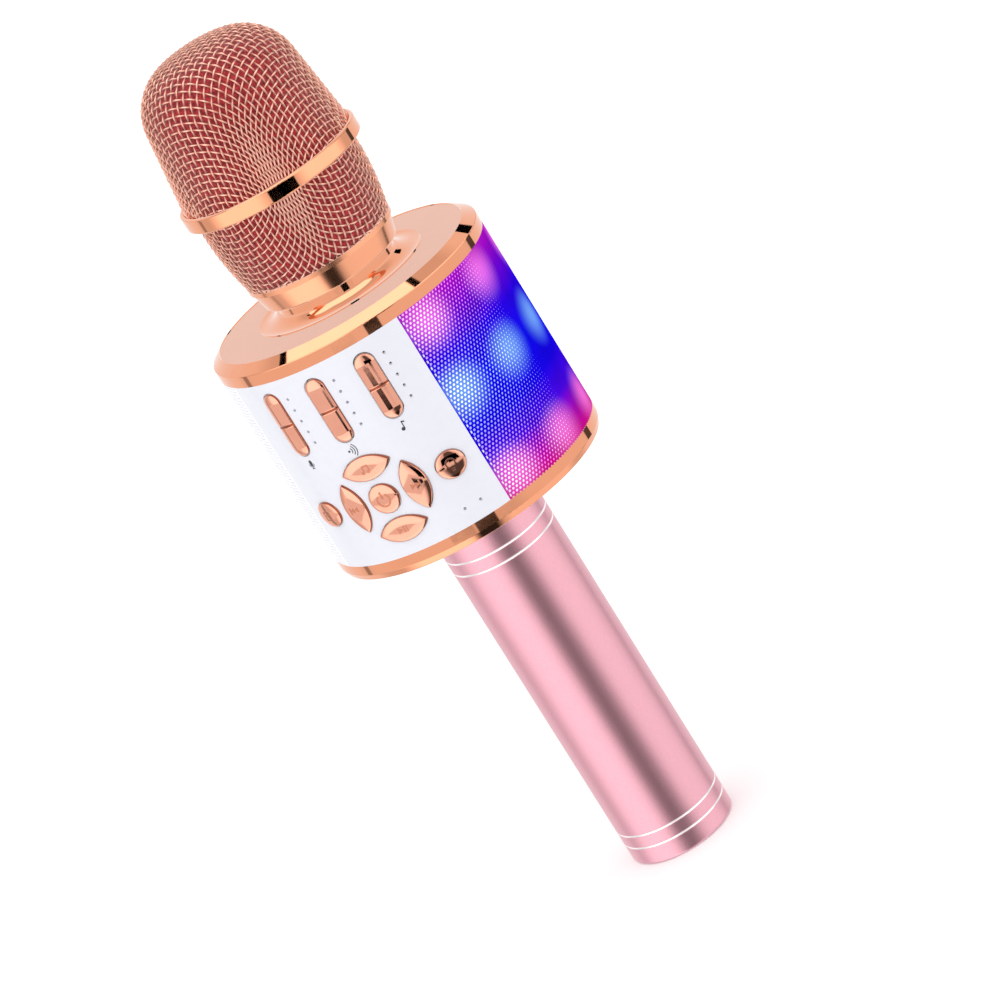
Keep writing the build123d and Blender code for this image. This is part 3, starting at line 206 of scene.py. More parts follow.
def on_cylinder(point: Vector, azimuth: float, level: float, radius: float) -> Vector:
    """Wraps a flat point round the body's axis.

    Args:
        point: x along the wall, y up it and z out of it, in metres.
        azimuth: where x is 0, in degrees from the front, towards +X.
        level: the height of y = 0, in metres.
        radius: the wall's radius where z is 0, in metres.

    Returns:
        The point on the wall.
    """
    angle = math.radians(azimuth) + point.x / radius
    reach = radius + point.z
    return Vector((reach * math.sin(angle), -reach * math.cos(angle), level + point.y))


def wall_azimuth(node: str) -> float:
    """Where a part on the round wall is, in degrees from the front towards +X.

    Args:
        node: the CAD node.

    Returns:
        The azimuth of its middle.
    """
    ends = [math.atan2(v.co.x, -v.co.y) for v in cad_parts[node].data.vertices]
    return math.degrees((min(ends) + max(ends)) / 2)


def thicken(bm: bmesh.types.BMesh, depth: float, keep: bool) -> None:
    """Gives a flat patch its thickness.

    Args:
        bm: the patch.
        depth: how far its copy lies along z, in metres.
        keep: whether the faces that it starts from stay.
    """
    copied = bmesh.ops.extrude_face_region(bm, geom=bm.faces[:], use_keep_orig=keep)["geom"]
    moved = [g for g in copied if isinstance(g, bmesh.types.BMVert)]
    bmesh.ops.translate(bm, verts=moved, vec=(0, 0, depth))
    bmesh.ops.recalc_face_normals(bm, faces=bm.faces)


def wrap(bm: bmesh.types.BMesh, azimuth: float, level: float, radius: float) -> None:
    """Bends a flat mesh round the body's wall, as on_cylinder does a point."""
    for vert in bm.verts:
        vert.co = on_cylinder(vert.co, azimuth, level, radius)


# ------------------------------------------------------------------- finishes


@dataclass(frozen=True)
class PlatedShell:
    """Rose gold plate, sputtered on polished ABS or die-cast zinc and clear coated.

    The plate gives a coloured mirror, and the lacquer a faint unevenness of gloss.
    """

    name: str
    colour: str
    deep_colour: str
    roughness: float
    cloud_mm: float = 9.0
    ripple_mm: float = 2.6
    ripple_depth: float = 0.003

    def make(self) -> bpy.types.Material:
        """Builds the material."""
        material, tree, place = new_material(self.name)
        cloud = add(tree, "ShaderNodeTexNoise", {}, {
            "Vector": place, "Scale": 1 / (self.cloud_mm * MM), "Detail": 3.0})
        tint = add(tree, "ShaderNodeMix", {"data_type": "RGBA"}, {
            0: cloud.outputs["Fac"], "A": linear(self.deep_colour), "B": linear(self.colour)})
        gloss = add(tree, "ShaderNodeMapRange", {}, {
            "Value": cloud.outputs["Fac"], "To Min": self.roughness * 0.8,
            "To Max": self.roughness * 1.25})
        ripple = add(tree, "ShaderNodeTexNoise", {}, {
            "Vector": place, "Scale": 1 / (self.ripple_mm * MM), "Detail": 1.0})
        close_material(tree, ripple.outputs["Fac"], self.ripple_depth, self.ripple_mm, {
            "Base Color": tint.outputs["Result"], "Metallic": 1.0,
            "Roughness": gloss.outputs["Result"]})
        return material


@dataclass(frozen=True)
class PlatedWire:
    """Drawn steel wire, woven and then plated rose gold.

    The colour is a painted highlight on the crests, where wire passes over wire, and
    painted shade down in the crossings, which are also duller, so the cloth shows as rows
    of bright dashes. The cloth's own crest attribute says how high each place stands, from 0 to 1.
    """

    name: str = "steel_wire_rose_gold_plated"
    # Painted highlight colour on the crests, and painted shade colour in the crossings.
    lit_crest_colour: str = "F9BCA6"
    shaded_trough_colour: str = "7C3022"
    roughness: float = 0.17
    attribute: str = "crest"
    ripple_mm: float = 0.4
    ripple_depth: float = 0.05

    def make(self) -> bpy.types.Material:
        """Builds the material."""
        material, tree, place = new_material(self.name)
        crest = add(
            tree, "ShaderNodeAttribute", {"attribute_name": self.attribute}, {}).outputs["Fac"]
        # Painted highlight and shade: pale colour on the wire's crests, dark colour down in its
        # crossings.
        plated = add(tree, "ShaderNodeMapRange", {"interpolation_type": "SMOOTHSTEP"}, {
            "Value": crest, "From Min": 0.3, "From Max": 0.95}).outputs["Result"]
        tint = add(tree, "ShaderNodeMix", {"data_type": "RGBA"}, {
            0: plated, "A": linear(self.shaded_trough_colour), "B": linear(self.lit_crest_colour)})
        gloss = add(tree, "ShaderNodeMapRange", {}, {
            "Value": crest, "To Min": self.roughness * 1.8, "To Max": self.roughness})
        ripple = add(tree, "ShaderNodeTexNoise", {}, {
            "Vector": place, "Scale": 1 / (self.ripple_mm * MM), "Detail": 1.0})
        close_material(tree, ripple.outputs["Fac"], self.ripple_depth, self.ripple_mm, {
            "Base Color": tint.outputs["Result"], "Metallic": 1.0,
            "Roughness": gloss.outputs["Result"]})
        return material


@dataclass(frozen=True)
class AnodisedTube:
    """Drawn aluminium tube, bead blasted, dyed pink and anodised, with grooves cut to bare metal.

    Blasting gives the wide satin highlight and its fine speckle. The grooves are cut
    after dyeing, so they shine white. The grit is 0.1 mm, drawn at 0.45 mm to show.
    """

    name: str = "anodised_aluminium_blasted_pink"
    colour: str = "F0B6C2"
    deep_colour: str = "E4A3B1"
    groove_colour: str = "FFFBFA"
    roughness: float = 0.34
    groove_roughness: float = 0.16
    grain_mm: float = 0.45
    grain_depth: float = 0.16
    relief_mm: float = 0.1
    groove_half_mm: float = 0.27

    def make(self) -> bpy.types.Material:
        """Builds the material."""
        material, tree, place = new_material(self.name)
        height = add(tree, "ShaderNodeSeparateXYZ", {}, {"Vector": place}).outputs["Z"]
        cut: bpy.types.NodeSocket | None = None
        for level in GROOVE_LEVELS_MM:
            near = add(tree, "ShaderNodeMath", {"operation": "COMPARE"}, {
                0: height, 1: level * MM, 2: self.groove_half_mm * MM}).outputs["Value"]
            cut = near if cut is None else add(tree, "ShaderNodeMath", {"operation": "MAXIMUM"}, {
                0: cut, 1: near}).outputs["Value"]
        grain = add(tree, "ShaderNodeTexNoise", {}, {
            "Vector": place, "Scale": 1 / (self.grain_mm * MM), "Detail": 2.0})
        dyed = add(tree, "ShaderNodeMix", {"data_type": "RGBA"}, {
            0: grain.outputs["Fac"], "A": linear(self.deep_colour), "B": linear(self.colour)})
        tint = add(tree, "ShaderNodeMix", {"data_type": "RGBA"}, {
            0: cut, "A": dyed.outputs["Result"], "B": linear(self.groove_colour)})
        gloss = add(tree, "ShaderNodeMapRange", {}, {
            "Value": cut, "To Min": self.roughness, "To Max": self.groove_roughness})
        close_material(tree, grain.outputs["Fac"], self.grain_depth, self.relief_mm, {
            "Base Color": tint.outputs["Result"], "Metallic": 1.0,
            "Roughness": gloss.outputs["Result"]})
        return material


@dataclass(frozen=True)
class Plain:
    """A moulded, pressed, sprayed or sintered material with a fine grain of its own.

    The grain moves the colour between two near tones, and the gloss and bump with it.
    """

    name: str
    colour: str
    deep_colour: str
    roughness: float
    metallic: float = 0.0
    grain_mm: float = 0.6
    depth: float = 0.08
    relief_share: float = 0.2
    coat: float = 0.0
    coat_roughness: float = 0.08
    ior: float = 1.5

    def make(self) -> bpy.types.Material:
        """Builds the material."""
        material, tree, place = new_material(self.name)
        grain = add(tree, "ShaderNodeTexNoise", {}, {
            "Vector": place, "Scale": 1 / (self.grain_mm * MM), "Detail": 3.0})
        tint = add(tree, "ShaderNodeMix", {"data_type": "RGBA"}, {
            0: grain.outputs["Fac"], "A": linear(self.deep_colour), "B": linear(self.colour)})
        gloss = add(tree, "ShaderNodeMapRange", {}, {
            "Value": grain.outputs["Fac"], "To Min": self.roughness * 0.85, "To Max": min(
                1.0, self.roughness * 1.15)})
        inputs = {"Base Color": tint.outputs["Result"], "Metallic": self.metallic,
                  "Roughness": gloss.outputs["Result"], "Coat Weight": self.coat,
                  "Coat Roughness": self.coat_roughness}
        if not self.metallic:
            inputs["IOR"] = self.ior
        close_material(
            tree, grain.outputs["Fac"], self.depth, self.grain_mm * self.relief_share, inputs)
        return material


@dataclass(frozen=True)
class OpenFoam:
    """Reticulated polyurethane foam, dyed red: open cells in a soft matt face, with painted shade
    darkening each cell's pit.
    """

    name: str = "polyurethane_foam_red"
    colour: str = "C4333B"
    pit_shade_colour: str = "5C0D12"
    cell_mm: float = 0.9
    cell_reach: float = 0.75
    depth: float = 0.6
    relief_share: float = 0.4

    def make(self) -> bpy.types.Material:
        """Builds the material."""
        material, tree, place = new_material(self.name)
        cells = add(
            tree, "ShaderNodeTexVoronoi", {}, {"Vector": place, "Scale": 1 / (self.cell_mm * MM)})
        depth = add(tree, "ShaderNodeMapRange", {}, {
            "Value": cells.outputs["Distance"], "From Max": self.cell_reach})
        # Painted shade: the colour darkens towards each cell's middle, its pit.
        tint = add(tree, "ShaderNodeMix", {"data_type": "RGBA"}, {
            0: depth.outputs["Result"], "A": linear(self.pit_shade_colour), "B": linear(self.colour)})
        relief = self.cell_mm * self.relief_share
        close_material(tree, depth.outputs["Result"], self.depth, relief, {
            "Base Color": tint.outputs["Result"], "Roughness": 0.9, "Sheen Weight": 0.3})
        return material


@dataclass(frozen=True)
class LampGlow:
    """The coloured light of the lamps on a sheet or film round the body.

    Bands of colour change with height, and each lamp stands out as a paler, round patch.
    A share of the light's colour is painted into the base colour as painted light, and on the
    punched steel sheet, which gives no light of its own, the glow itself is painted light.
    """

    name: str
    level_colours: tuple[tuple[float, str], ...]
    lamp_colours: tuple[tuple[float, str], ...]
    unlit: str
    strength: float
    # Share of the light's colour painted into the base colour, as painted light.
    painted_light_share: float
    roughness: float
    lamp_mm: float
    core_mm: float
    cloud_mm: float = 7.0
    cloud_levels: tuple[float, float] = (0.75, 1.2)

    def banded(
        self, tree: bpy.types.NodeTree, height: bpy.types.NodeSocket,
        colours: Sequence[tuple[float, str]]
    ) -> bpy.types.NodeSocket:
        """Adds a colour that changes with height.

        Args:
            tree: the material's tree.
            height: the height, in metres.
            colours: height in millimetres and colour of each stop, lowest first.

        Returns:
            The colour output.
        """
        low, high = colours[0][0], colours[-1][0]
        share = add(tree, "ShaderNodeMapRange", {}, {
            "Value": height, "From Min": low * MM, "From Max": high * MM})
        ramp = add(tree, "ShaderNodeValToRGB", {}, {"Fac": share.outputs["Result"]})
        stops = ramp.color_ramp.elements
        while len(stops) < len(colours):
            stops.new(0.5)
        for stop, (level, code) in zip(stops, colours):
            stop.position = (level - low) / (high - low)
            stop.color = linear(code)
        return ramp.outputs["Color"]

    def make(
        self, side: Side, lamps: Sequence[Vector], lit_from: float, lit_full: float
    ) -> bpy.types.Material:
        """Builds the material of one side.

        Args:
            side: which side of the body it is on.
            lamps: the lamps' places on the sheet, in metres.
            lit_from: azimuth where the light begins, in degrees from the front.
            lit_full: azimuth where it is full.

        Returns:
            The material.
        """
        material, tree, place = new_material(f"{self.name}_{side.name.lower()}")
        axes = add(tree, "ShaderNodeSeparateXYZ", {}, {"Vector": place})
        height = axes.outputs["Z"]
        deep = self.banded(tree, height, self.level_colours)
        pale = self.banded(tree, height, self.lamp_colours)
        spots: bpy.types.NodeSocket | None = None
        for lamp in lamps:
            away = add(tree, "ShaderNodeVectorMath", {"operation": "DISTANCE"}, {0: place, 1: lamp})
            spot = add(tree, "ShaderNodeMapRange", {"interpolation_type": "SMOOTHSTEP"}, {
                "Value": away.outputs["Value"], "From Min": self.core_mm * MM,
                "From Max": self.lamp_mm * MM, "To Min": 1.0, "To Max": 0.0}).outputs["Result"]
            spots = spot if spots is None else add(
                tree, "ShaderNodeMath", {"operation": "MAXIMUM"}, {0: spots, 1: spot}
            ).outputs["Value"]
        across = add(tree, "ShaderNodeMath", {"operation": "ABSOLUTE"}, {0: axes.outputs["X"]})
        forward = add(
            tree, "ShaderNodeMath", {"operation": "MULTIPLY"}, {0: axes.outputs["Y"], 1: -1.0})
        azimuth = add(tree, "ShaderNodeMath", {"operation": "ARCTAN2"}, {
            0: across.outputs["Value"], 1: forward.outputs["Value"]})
        lit = add(tree, "ShaderNodeMapRange", {"interpolation_type": "SMOOTHSTEP"}, {
            "Value": azimuth.outputs["Value"], "From Min": math.radians(lit_from),
            "From Max": math.radians(lit_full)}).outputs["Result"]
        cloud = add(tree, "ShaderNodeTexNoise", {}, {
            "Vector": place, "Scale": 1 / (self.cloud_mm * MM), "Detail": 1.0})
        shade = add(tree, "ShaderNodeMapRange", {}, {
            "Value": cloud.outputs["Fac"], "To Min": self.cloud_levels[0],
            "To Max": self.cloud_levels[1]})
        mottled = add(tree, "ShaderNodeVectorMath", {"operation": "SCALE"}, {
            0: deep, "Scale": shade.outputs["Result"]})
        light = add(tree, "ShaderNodeMix", {"data_type": "RGBA"}, {
            0: spots, "A": mottled.outputs["Vector"], "B": pale}).outputs["Result"]
        # Painted light: the glow is emitted from this surface, and a share of it tints the base
        # colour.
        emitted = add(tree, "ShaderNodeMix", {
            "data_type": "RGBA"}, {0: lit, "A": linear("000000"), "B": light})
        body = add(tree, "ShaderNodeVectorMath", {
            "operation": "SCALE"}, {0: light, "Scale": self.painted_light_share})
        base = add(tree, "ShaderNodeMix", {"data_type": "RGBA"}, {
            0: lit, "A": linear(self.unlit), "B": body.outputs["Vector"]})
        shader = add(tree, "ShaderNodeBsdfPrincipled", {}, {
            "Base Color": base.outputs["Result"], "Roughness": self.roughness,
            "Specular IOR Level": 0.0,
            "Emission Color": emitted.outputs["Result"], "Emission Strength": self.strength})
        add(tree, "ShaderNodeOutputMaterial", {}, {"Surface": shader.outputs["BSDF"]})
        return material


MIRROR = PlatedShell("rose_gold_plate_polished", "F2A680", "EE9E78", 0.045, ripple_depth=0.001)
SATIN = PlatedShell(
    "rose_gold_plate_satin", "EEBBA4", "E4A88F", 0.3, ripple_mm=0.8, ripple_depth=0.06)
COLLAR = PlatedShell("rose_gold_plate_brushed_soft", "F2A883", "EEA07B", 0.15)
KEY = PlatedShell("rose_gold_plate_key", "F1AD94", "EAA087", 0.05, cloud_mm=4.0, ripple_depth=0.001)
# The key plate painted darker: painted shade on the keys' skirts and shoulders and in the rockers'
# grooves.
KEY_SHADE = PlatedShell("rose_gold_plate_key_edge", "A65A42", "8E4A36", 0.2, cloud_mm=2.0)
# The key plate coloured darker for the raised signs: painted shade standing in for the shading of
# their relief.
ICON = PlatedShell("rose_gold_plate_sign", "D08A6E", "C27C62", 0.25, cloud_mm=2.0)
WIRE = PlatedWire()

FINISHES: dict[Slot, Plain] = {
    # Pressed vulcanised fibre: dense, dull, faintly mottled.
    Slot.WASHER_FIBRE: Plain(
        "vulcanised_fibre_pressed", "8C2F28", "6E221D", 0.6, grain_mm=0.7, depth=0.2),
    # Drawn and nickel-plated brass can: grey mirror gone soft.
    Slot.CAPSULE_METAL: Plain(
        "nickel_plated_brass_drawn", "C9C6BE", "ADAAA2", 0.28, metallic=1.0, grain_mm=0.5),
    # Moulded silicone rubber: matt black with a dusty grain.
    Slot.BLACK_RUBBER: Plain(
        "silicone_rubber_moulded", "2A2A2C", "1B1B1D", 0.75, grain_mm=0.5, depth=0.2),
    # Injection moulded ABS from an eroded tool: even leathery sparkle.
    Slot.BLACK_PLASTIC: Plain(
        "abs_black_eroded", "232427", "17181A", 0.5, grain_mm=0.35, depth=0.25),
    Slot.CHASSIS_PLASTIC: Plain(
        "abs_grey_moulded", "6B6E73", "5C5F64", 0.5, grain_mm=0.4, depth=0.2),
    # Zinc-plated steel screws: bright blue-grey with a fine drawn grain.
    Slot.SCREW_STEEL: Plain(
        "zinc_plated_steel", "C9CCD2", "9EA2AA", 0.3, metallic=1.0, grain_mm=0.3),
    # Spray-lacquered ABS: bright white with a smooth gloss over a slight orange peel.
    Slot.WHITE_PANEL: Plain(
        "abs_white_lacquered", "DEDEE6", "D9D9E2", 0.32, grain_mm=2.2, depth=0.02, coat=0.35),
    # Polyimide film with the lamps printed on it.
    Slot.LED_FILM: Plain(
        "polyimide_film_white_ink", "F6E9D8", "E6CFAE", 0.45, grain_mm=1.4, depth=0.05),
    # Smoked acrylic light pipes: dark grey until lit.
    Slot.CLEAR_GUIDE: Plain(
        "acrylic_smoked", "17171A", "101012", 0.35, grain_mm=0.8, depth=0.02, ior=1.49),
    # Glass-epoxy laminate under green solder mask.
    Slot.CIRCUIT_BOARD: Plain(
        "glass_epoxy_green_mask", "1E6B3A", "124A27", 0.35, grain_mm=0.8, depth=0.1, coat=0.4),
    Slot.SWITCH_BLACK: Plain(
        "nylon_black_moulded", "2B2B2E", "1F1F22", 0.45, grain_mm=0.3, depth=0.15),
    Slot.CHIP_BLACK: Plain(
        "epoxy_moulding_compound", "202124", "151618", 0.55, grain_mm=0.25, depth=0.2),
    # Stamped steel shells, tin plated.
    Slot.PORT_METAL: Plain(
        "tin_plated_steel_stamped", "C4C4C4", "9C9C9E", 0.3, metallic=1.0, grain_mm=0.4),
    # Pressed steel basket, black electrophoretic paint.
    Slot.BLACK_STEEL: Plain(
        "painted_steel_pressed", "26272A", "1A1B1D", 0.4, grain_mm=0.6, depth=0.1),
    # Felted paper pulp: long soft fibres show as cloudy grain.
    Slot.PAPER_CONE: Plain("paper_pulp_pressed", "2D2B2A", "1C1B1A", 0.85, grain_mm=0.9, depth=0.4),
    # Sintered ferrite, ground: dark, faintly sparkling.
    Slot.MAGNET_FERRITE: Plain(
        "ferrite_sintered", "3B3B3D", "29292B", 0.5, grain_mm=0.3, depth=0.3),
    # Anodised aluminium end cap, turned.
    Slot.PINK_CAP: Plain(
        "anodised_aluminium_turned_pink", "EDB3BF", "E1A2AF", 0.34, metallic=1.0, grain_mm=0.4,
        depth=0.1),
    # Heat-shrunk PVC sleeve: thin glossy wrap.
    Slot.CELL_WRAP: Plain(
        "pvc_sleeve_shrunk", "2E7FC2", "2670AE", 0.25, grain_mm=3.0, depth=0.05, coat=0.3),
    Slot.LEAD_JACKET: Plain(
        "pvc_jacket_extruded", "2A2A2A", "1E1E1E", 0.4, grain_mm=0.4, depth=0.1),
}


# ------------------------------------------------------------------ the studio


@dataclass(frozen=True)
class Card:
    """A bright or dark card of the studio, as a patch of directions seen from the object.

    Azimuths are in degrees from the camera's, positive to its right, and from straight
    behind the object for a card at the back. Elevations are in degrees.
    """

    azimuth: float
    half_width: float
    low: float
    high: float
    level: float
    soft: float = 2.0
    soft_level: float = 4.0
    behind: bool = False


@dataclass
class Studio:
    """A white sweep under soft light, with cards that shape the reflections, and the camera."""

    distance: float = 1.1786
    height: float = 0.4833
    shift_right: float = 0.0054
    pitch: float = 17.67
    roll: float = 32.0
    lens: float = 167.4
    sensor: float = 36.0
    floor_size: float = 14.0
    pulp_scale: float = 40.0
    fill_lean: tuple[float, float, float] = (-0.35, -0.45, 0.82)
    fill_levels: tuple[float, float] = (0.75, 1.4)
    soft_level: float = 0.8
    cards: tuple[Card, ...] = (
        Card(-56, 22, -91, 50, 1.7, 26, 24),
        Card(60, 22, -91, 50, 1.6, 22, 24),
        Card(62, 30, -70, -19, 1.12, 20, 3),
        Card(-50, 30, -32, -19, 1.5, 24, 3),
        Card(0, 105, -19.3, -13.9, 0.98, 20, 0.6),
        Card(0, 52, -35, 38, 1.02, 14, 14, behind=True),
        Card(-48, 22, 55.5, 91, 2.1, 10, 1, behind=True),
        Card(0, 181, 66, 91, 2.1, 1, 1),
        Card(2.5, 17, -13.9, -2, 0.0, 1.2, 0.4),
        Card(4, 5.5, -15.42, -13.9, 0.0, 1.2, 0.05),
        Card(-22, 9, -17.6, -15.45, 0.0, 1.5, 0.05),
        Card(-1.5, 8, -19.3, -17.5, 0.0, 1.5, 0.1),
        Card(7, 14, -36, -19.3, 0.1, 22, 2.0),
        Card(-4, 9, -91, -36, 0.03, 12, 2.0),
        Card(5, 9, -2, 34, 0.12, 4, 3.0),
        Card(118, 3, -30, 10, 0.1, 1.5, 6),
        Card(-116, 2.0, -30, 10, 0.4, 1.5, 6),
        Card(52.4, 5, 63.8, 66.4, 0.0, 1, 0.5, behind=True),
        Card(-48, 5, 52.8, 55.6, 0.0, 1, 0.5, behind=True),
        Card(30, 6, 24.5, 31, 0.0, 2, 1, behind=True),
    )

    def build(self) -> None:
        """Makes the camera, the floor and the light, camera first."""
        self.build_camera()
        self.build_floor()
        self.build_light()
        view = bpy.context.scene.view_settings
        view.view_transform = "Standard"
        view.look = "None"

    def build_camera(self) -> None:
        """Stands the camera off the front right corner, looking down a little and rolled."""
        azimuth, pitch, roll = (math.radians(a) for a in (CAMERA_AZIMUTH, self.pitch, self.roll))
        right = Vector((math.cos(azimuth), math.sin(azimuth), 0))
        ahead = Vector((-math.sin(azimuth), math.cos(azimuth), 0))
        up = Vector((0, 0, 1))
        back = up * math.sin(pitch) - ahead * math.cos(pitch)
        level_up = ahead * math.sin(pitch) + up * math.cos(pitch)
        camera_right = right * math.cos(roll) - level_up * math.sin(roll)
        camera_up = level_up * math.cos(roll) + right * math.sin(roll)
        data = bpy.data.cameras.new("camera")
        data.lens = self.lens
        data.sensor_width = self.sensor
        data.clip_end = 60.0
        camera = bpy.data.objects.new("camera", data)
        bpy.context.collection.objects.link(camera)
        turn = Matrix((camera_right, camera_up, back)).transposed().to_4x4()
        spot = right * self.shift_right - ahead * self.distance + up * self.height
        camera.matrix_world = Matrix.Translation(spot) @ turn
        bpy.context.scene.camera = camera
        log.info("camera at %s", tuple(round(c, 3) for c in spot))

    def build_floor(self) -> None:
        """Lays the white sweep. It doesn't show in mirrors, which see the cards instead."""
        bm = bmesh.new()
        bmesh.ops.create_grid(bm, x_segments=8, y_segments=8, size=self.floor_size)
        mesh = bpy.data.meshes.new("floor")
        bm.to_mesh(mesh)
        bm.free()
        floor = bpy.data.objects.new("floor", mesh)
        bpy.context.collection.objects.link(floor)
        material, tree, place = new_material("paper_sweep_white")
        pulp = add(tree, "ShaderNodeTexNoise", {}, {
            "Vector": place, "Scale": self.pulp_scale, "Detail": 2.0})
        tint = add(tree, "ShaderNodeMix", {"data_type": "RGBA"}, {
            0: pulp.outputs["Fac"], "A": linear("FBFBFB"), "B": linear("FFFFFF")})
        shader = add(tree, "ShaderNodeBsdfDiffuse", {}, {"Color": tint.outputs["Result"]})
        add(tree, "ShaderNodeOutputMaterial", {}, {"Surface": shader.outputs["BSDF"]})
        mesh.materials.append(material)
        floor.visible_glossy = False

    def build_light(self) -> None:
        """Fills the world with soft light, and hangs the cards where mirrors see them."""
        world = bpy.data.worlds.new("studio")
        bpy.context.scene.world = world
        world.use_nodes = True
        tree = world.node_tree
        tree.nodes.clear()
        way = add(tree, "ShaderNodeTexCoord", {}, {}).outputs["Generated"]
        turned = add(tree, "ShaderNodeVectorRotate", {"rotation_type": "Z_AXIS"}, {
            "Vector": way, "Angle": -math.radians(CAMERA_AZIMUTH)})
        axes = add(tree, "ShaderNodeSeparateXYZ", {}, {"Vector": turned.outputs["Vector"]})
        forward = add(
            tree, "ShaderNodeMath", {"operation": "MULTIPLY"}, {0: axes.outputs["Y"], 1: -1.0})
        front = add(tree, "ShaderNodeMath", {"operation": "ARCTAN2"}, {
            0: axes.outputs["X"], 1: forward.outputs["Value"]}).outputs["Value"]
        rear = add(tree, "ShaderNodeMath", {"operation": "ARCTAN2"}, {
            0: axes.outputs["X"], 1: axes.outputs["Y"]}).outputs["Value"]
        rise = add(tree, "ShaderNodeMath", {"operation": "ARCSINE"}, {
            0: axes.outputs["Z"]}).outputs["Value"]
        level: Any = self.soft_level
        for card in self.cards:
            masks = []
            middle, reach = (card.low + card.high) / 2, (card.high - card.low) / 2
            for angle, centre, half, soft in (
                (rear if card.behind else front, card.azimuth, card.half_width, card.soft),
                (rise, middle, reach, card.soft_level),
            ):
                off = add(tree, "ShaderNodeMath", {"operation": "SUBTRACT"}, {
                    0: angle, 1: math.radians(centre)})
                away = add(
                    tree, "ShaderNodeMath", {"operation": "ABSOLUTE"}, {0: off.outputs["Value"]})
                masks.append(add(tree, "ShaderNodeMapRange", {"interpolation_type": "SMOOTHSTEP"}, {
                    "Value": away.outputs["Value"], "From Min": math.radians(half),
                    "From Max": math.radians(half + soft), "To Min": 1.0, "To Max": 0.0,
                }).outputs["Result"])
            inside = add(
                tree, "ShaderNodeMath", {"operation": "MULTIPLY"}, {0: masks[0], 1: masks[1]})
            level = add(tree, "ShaderNodeMix", {"data_type": "FLOAT"}, {
                0: inside.outputs["Value"], "A": level, "B": card.level}).outputs["Result"]
        cards = add(
            tree, "ShaderNodeBackground", {}, {"Color": linear("FFFFFF"), "Strength": level})
        lean = add(tree, "ShaderNodeVectorMath", {"operation": "DOT_PRODUCT"}, {
            0: turned.outputs["Vector"], 1: self.fill_lean})
        soft = add(tree, "ShaderNodeMapRange", {}, {
            "Value": lean.outputs["Value"], "From Min": -1.0, "To Min": self.fill_levels[0],
            "To Max": self.fill_levels[1]})
        fill = add(tree, "ShaderNodeBackground", {}, {
            "Color": linear("FFFFFF"), "Strength": soft.outputs["Result"]})
        ray = add(tree, "ShaderNodeLightPath", {}, {})
        both = add(tree, "ShaderNodeMixShader", {}, {
            0: ray.outputs["Is Glossy Ray"], 1: fill.outputs["Background"],
            2: cards.outputs["Background"]})
        add(tree, "ShaderNodeOutputWorld", {}, {"Surface": both.outputs["Shader"]})


# -------------------------------------------------------------------- the head


@dataclass
class TurnedSurface:
    """A surface of revolution about Z, followed by its length from the pole.

    Attributes:
        radii: radius of each profile point, in millimetres, pole first.
        heights: height of each profile point, in millimetres.
    """

    radii: numpy.ndarray
    heights: numpy.ndarray
    lengths: numpy.ndarray = field(init=False)

    def __post_init__(self) -> None:
        """Adds up the profile's length."""
        steps = numpy.hypot(numpy.diff(self.radii), numpy.diff(self.heights))
        self.lengths = numpy.concatenate([[0.0], numpy.cumsum(steps)])

    def point(self, length: float, angle: float) -> numpy.ndarray:
        """The point at a length from the pole and an angle round the axis."""
        radius = numpy.interp(length, self.lengths, self.radii)
        height = numpy.interp(length, self.lengths, self.heights)
        return numpy.array([radius * math.cos(angle), radius * math.sin(angle), height])

    def normal(self, length: float, angle: float, outward: float) -> numpy.ndarray:
        """The unit normal there, away from the axis where outward is 1."""
        step = 0.3
        here, there = self.point(length - step, 0.0), self.point(length + step, 0.0)
        along = there - here
        size = math.hypot(along[0], along[2]) or 1.0
        radial, rise = -along[2] / size * outward, along[0] / size * outward
        return numpy.array([radial * math.cos(angle), radial * math.sin(angle), rise])


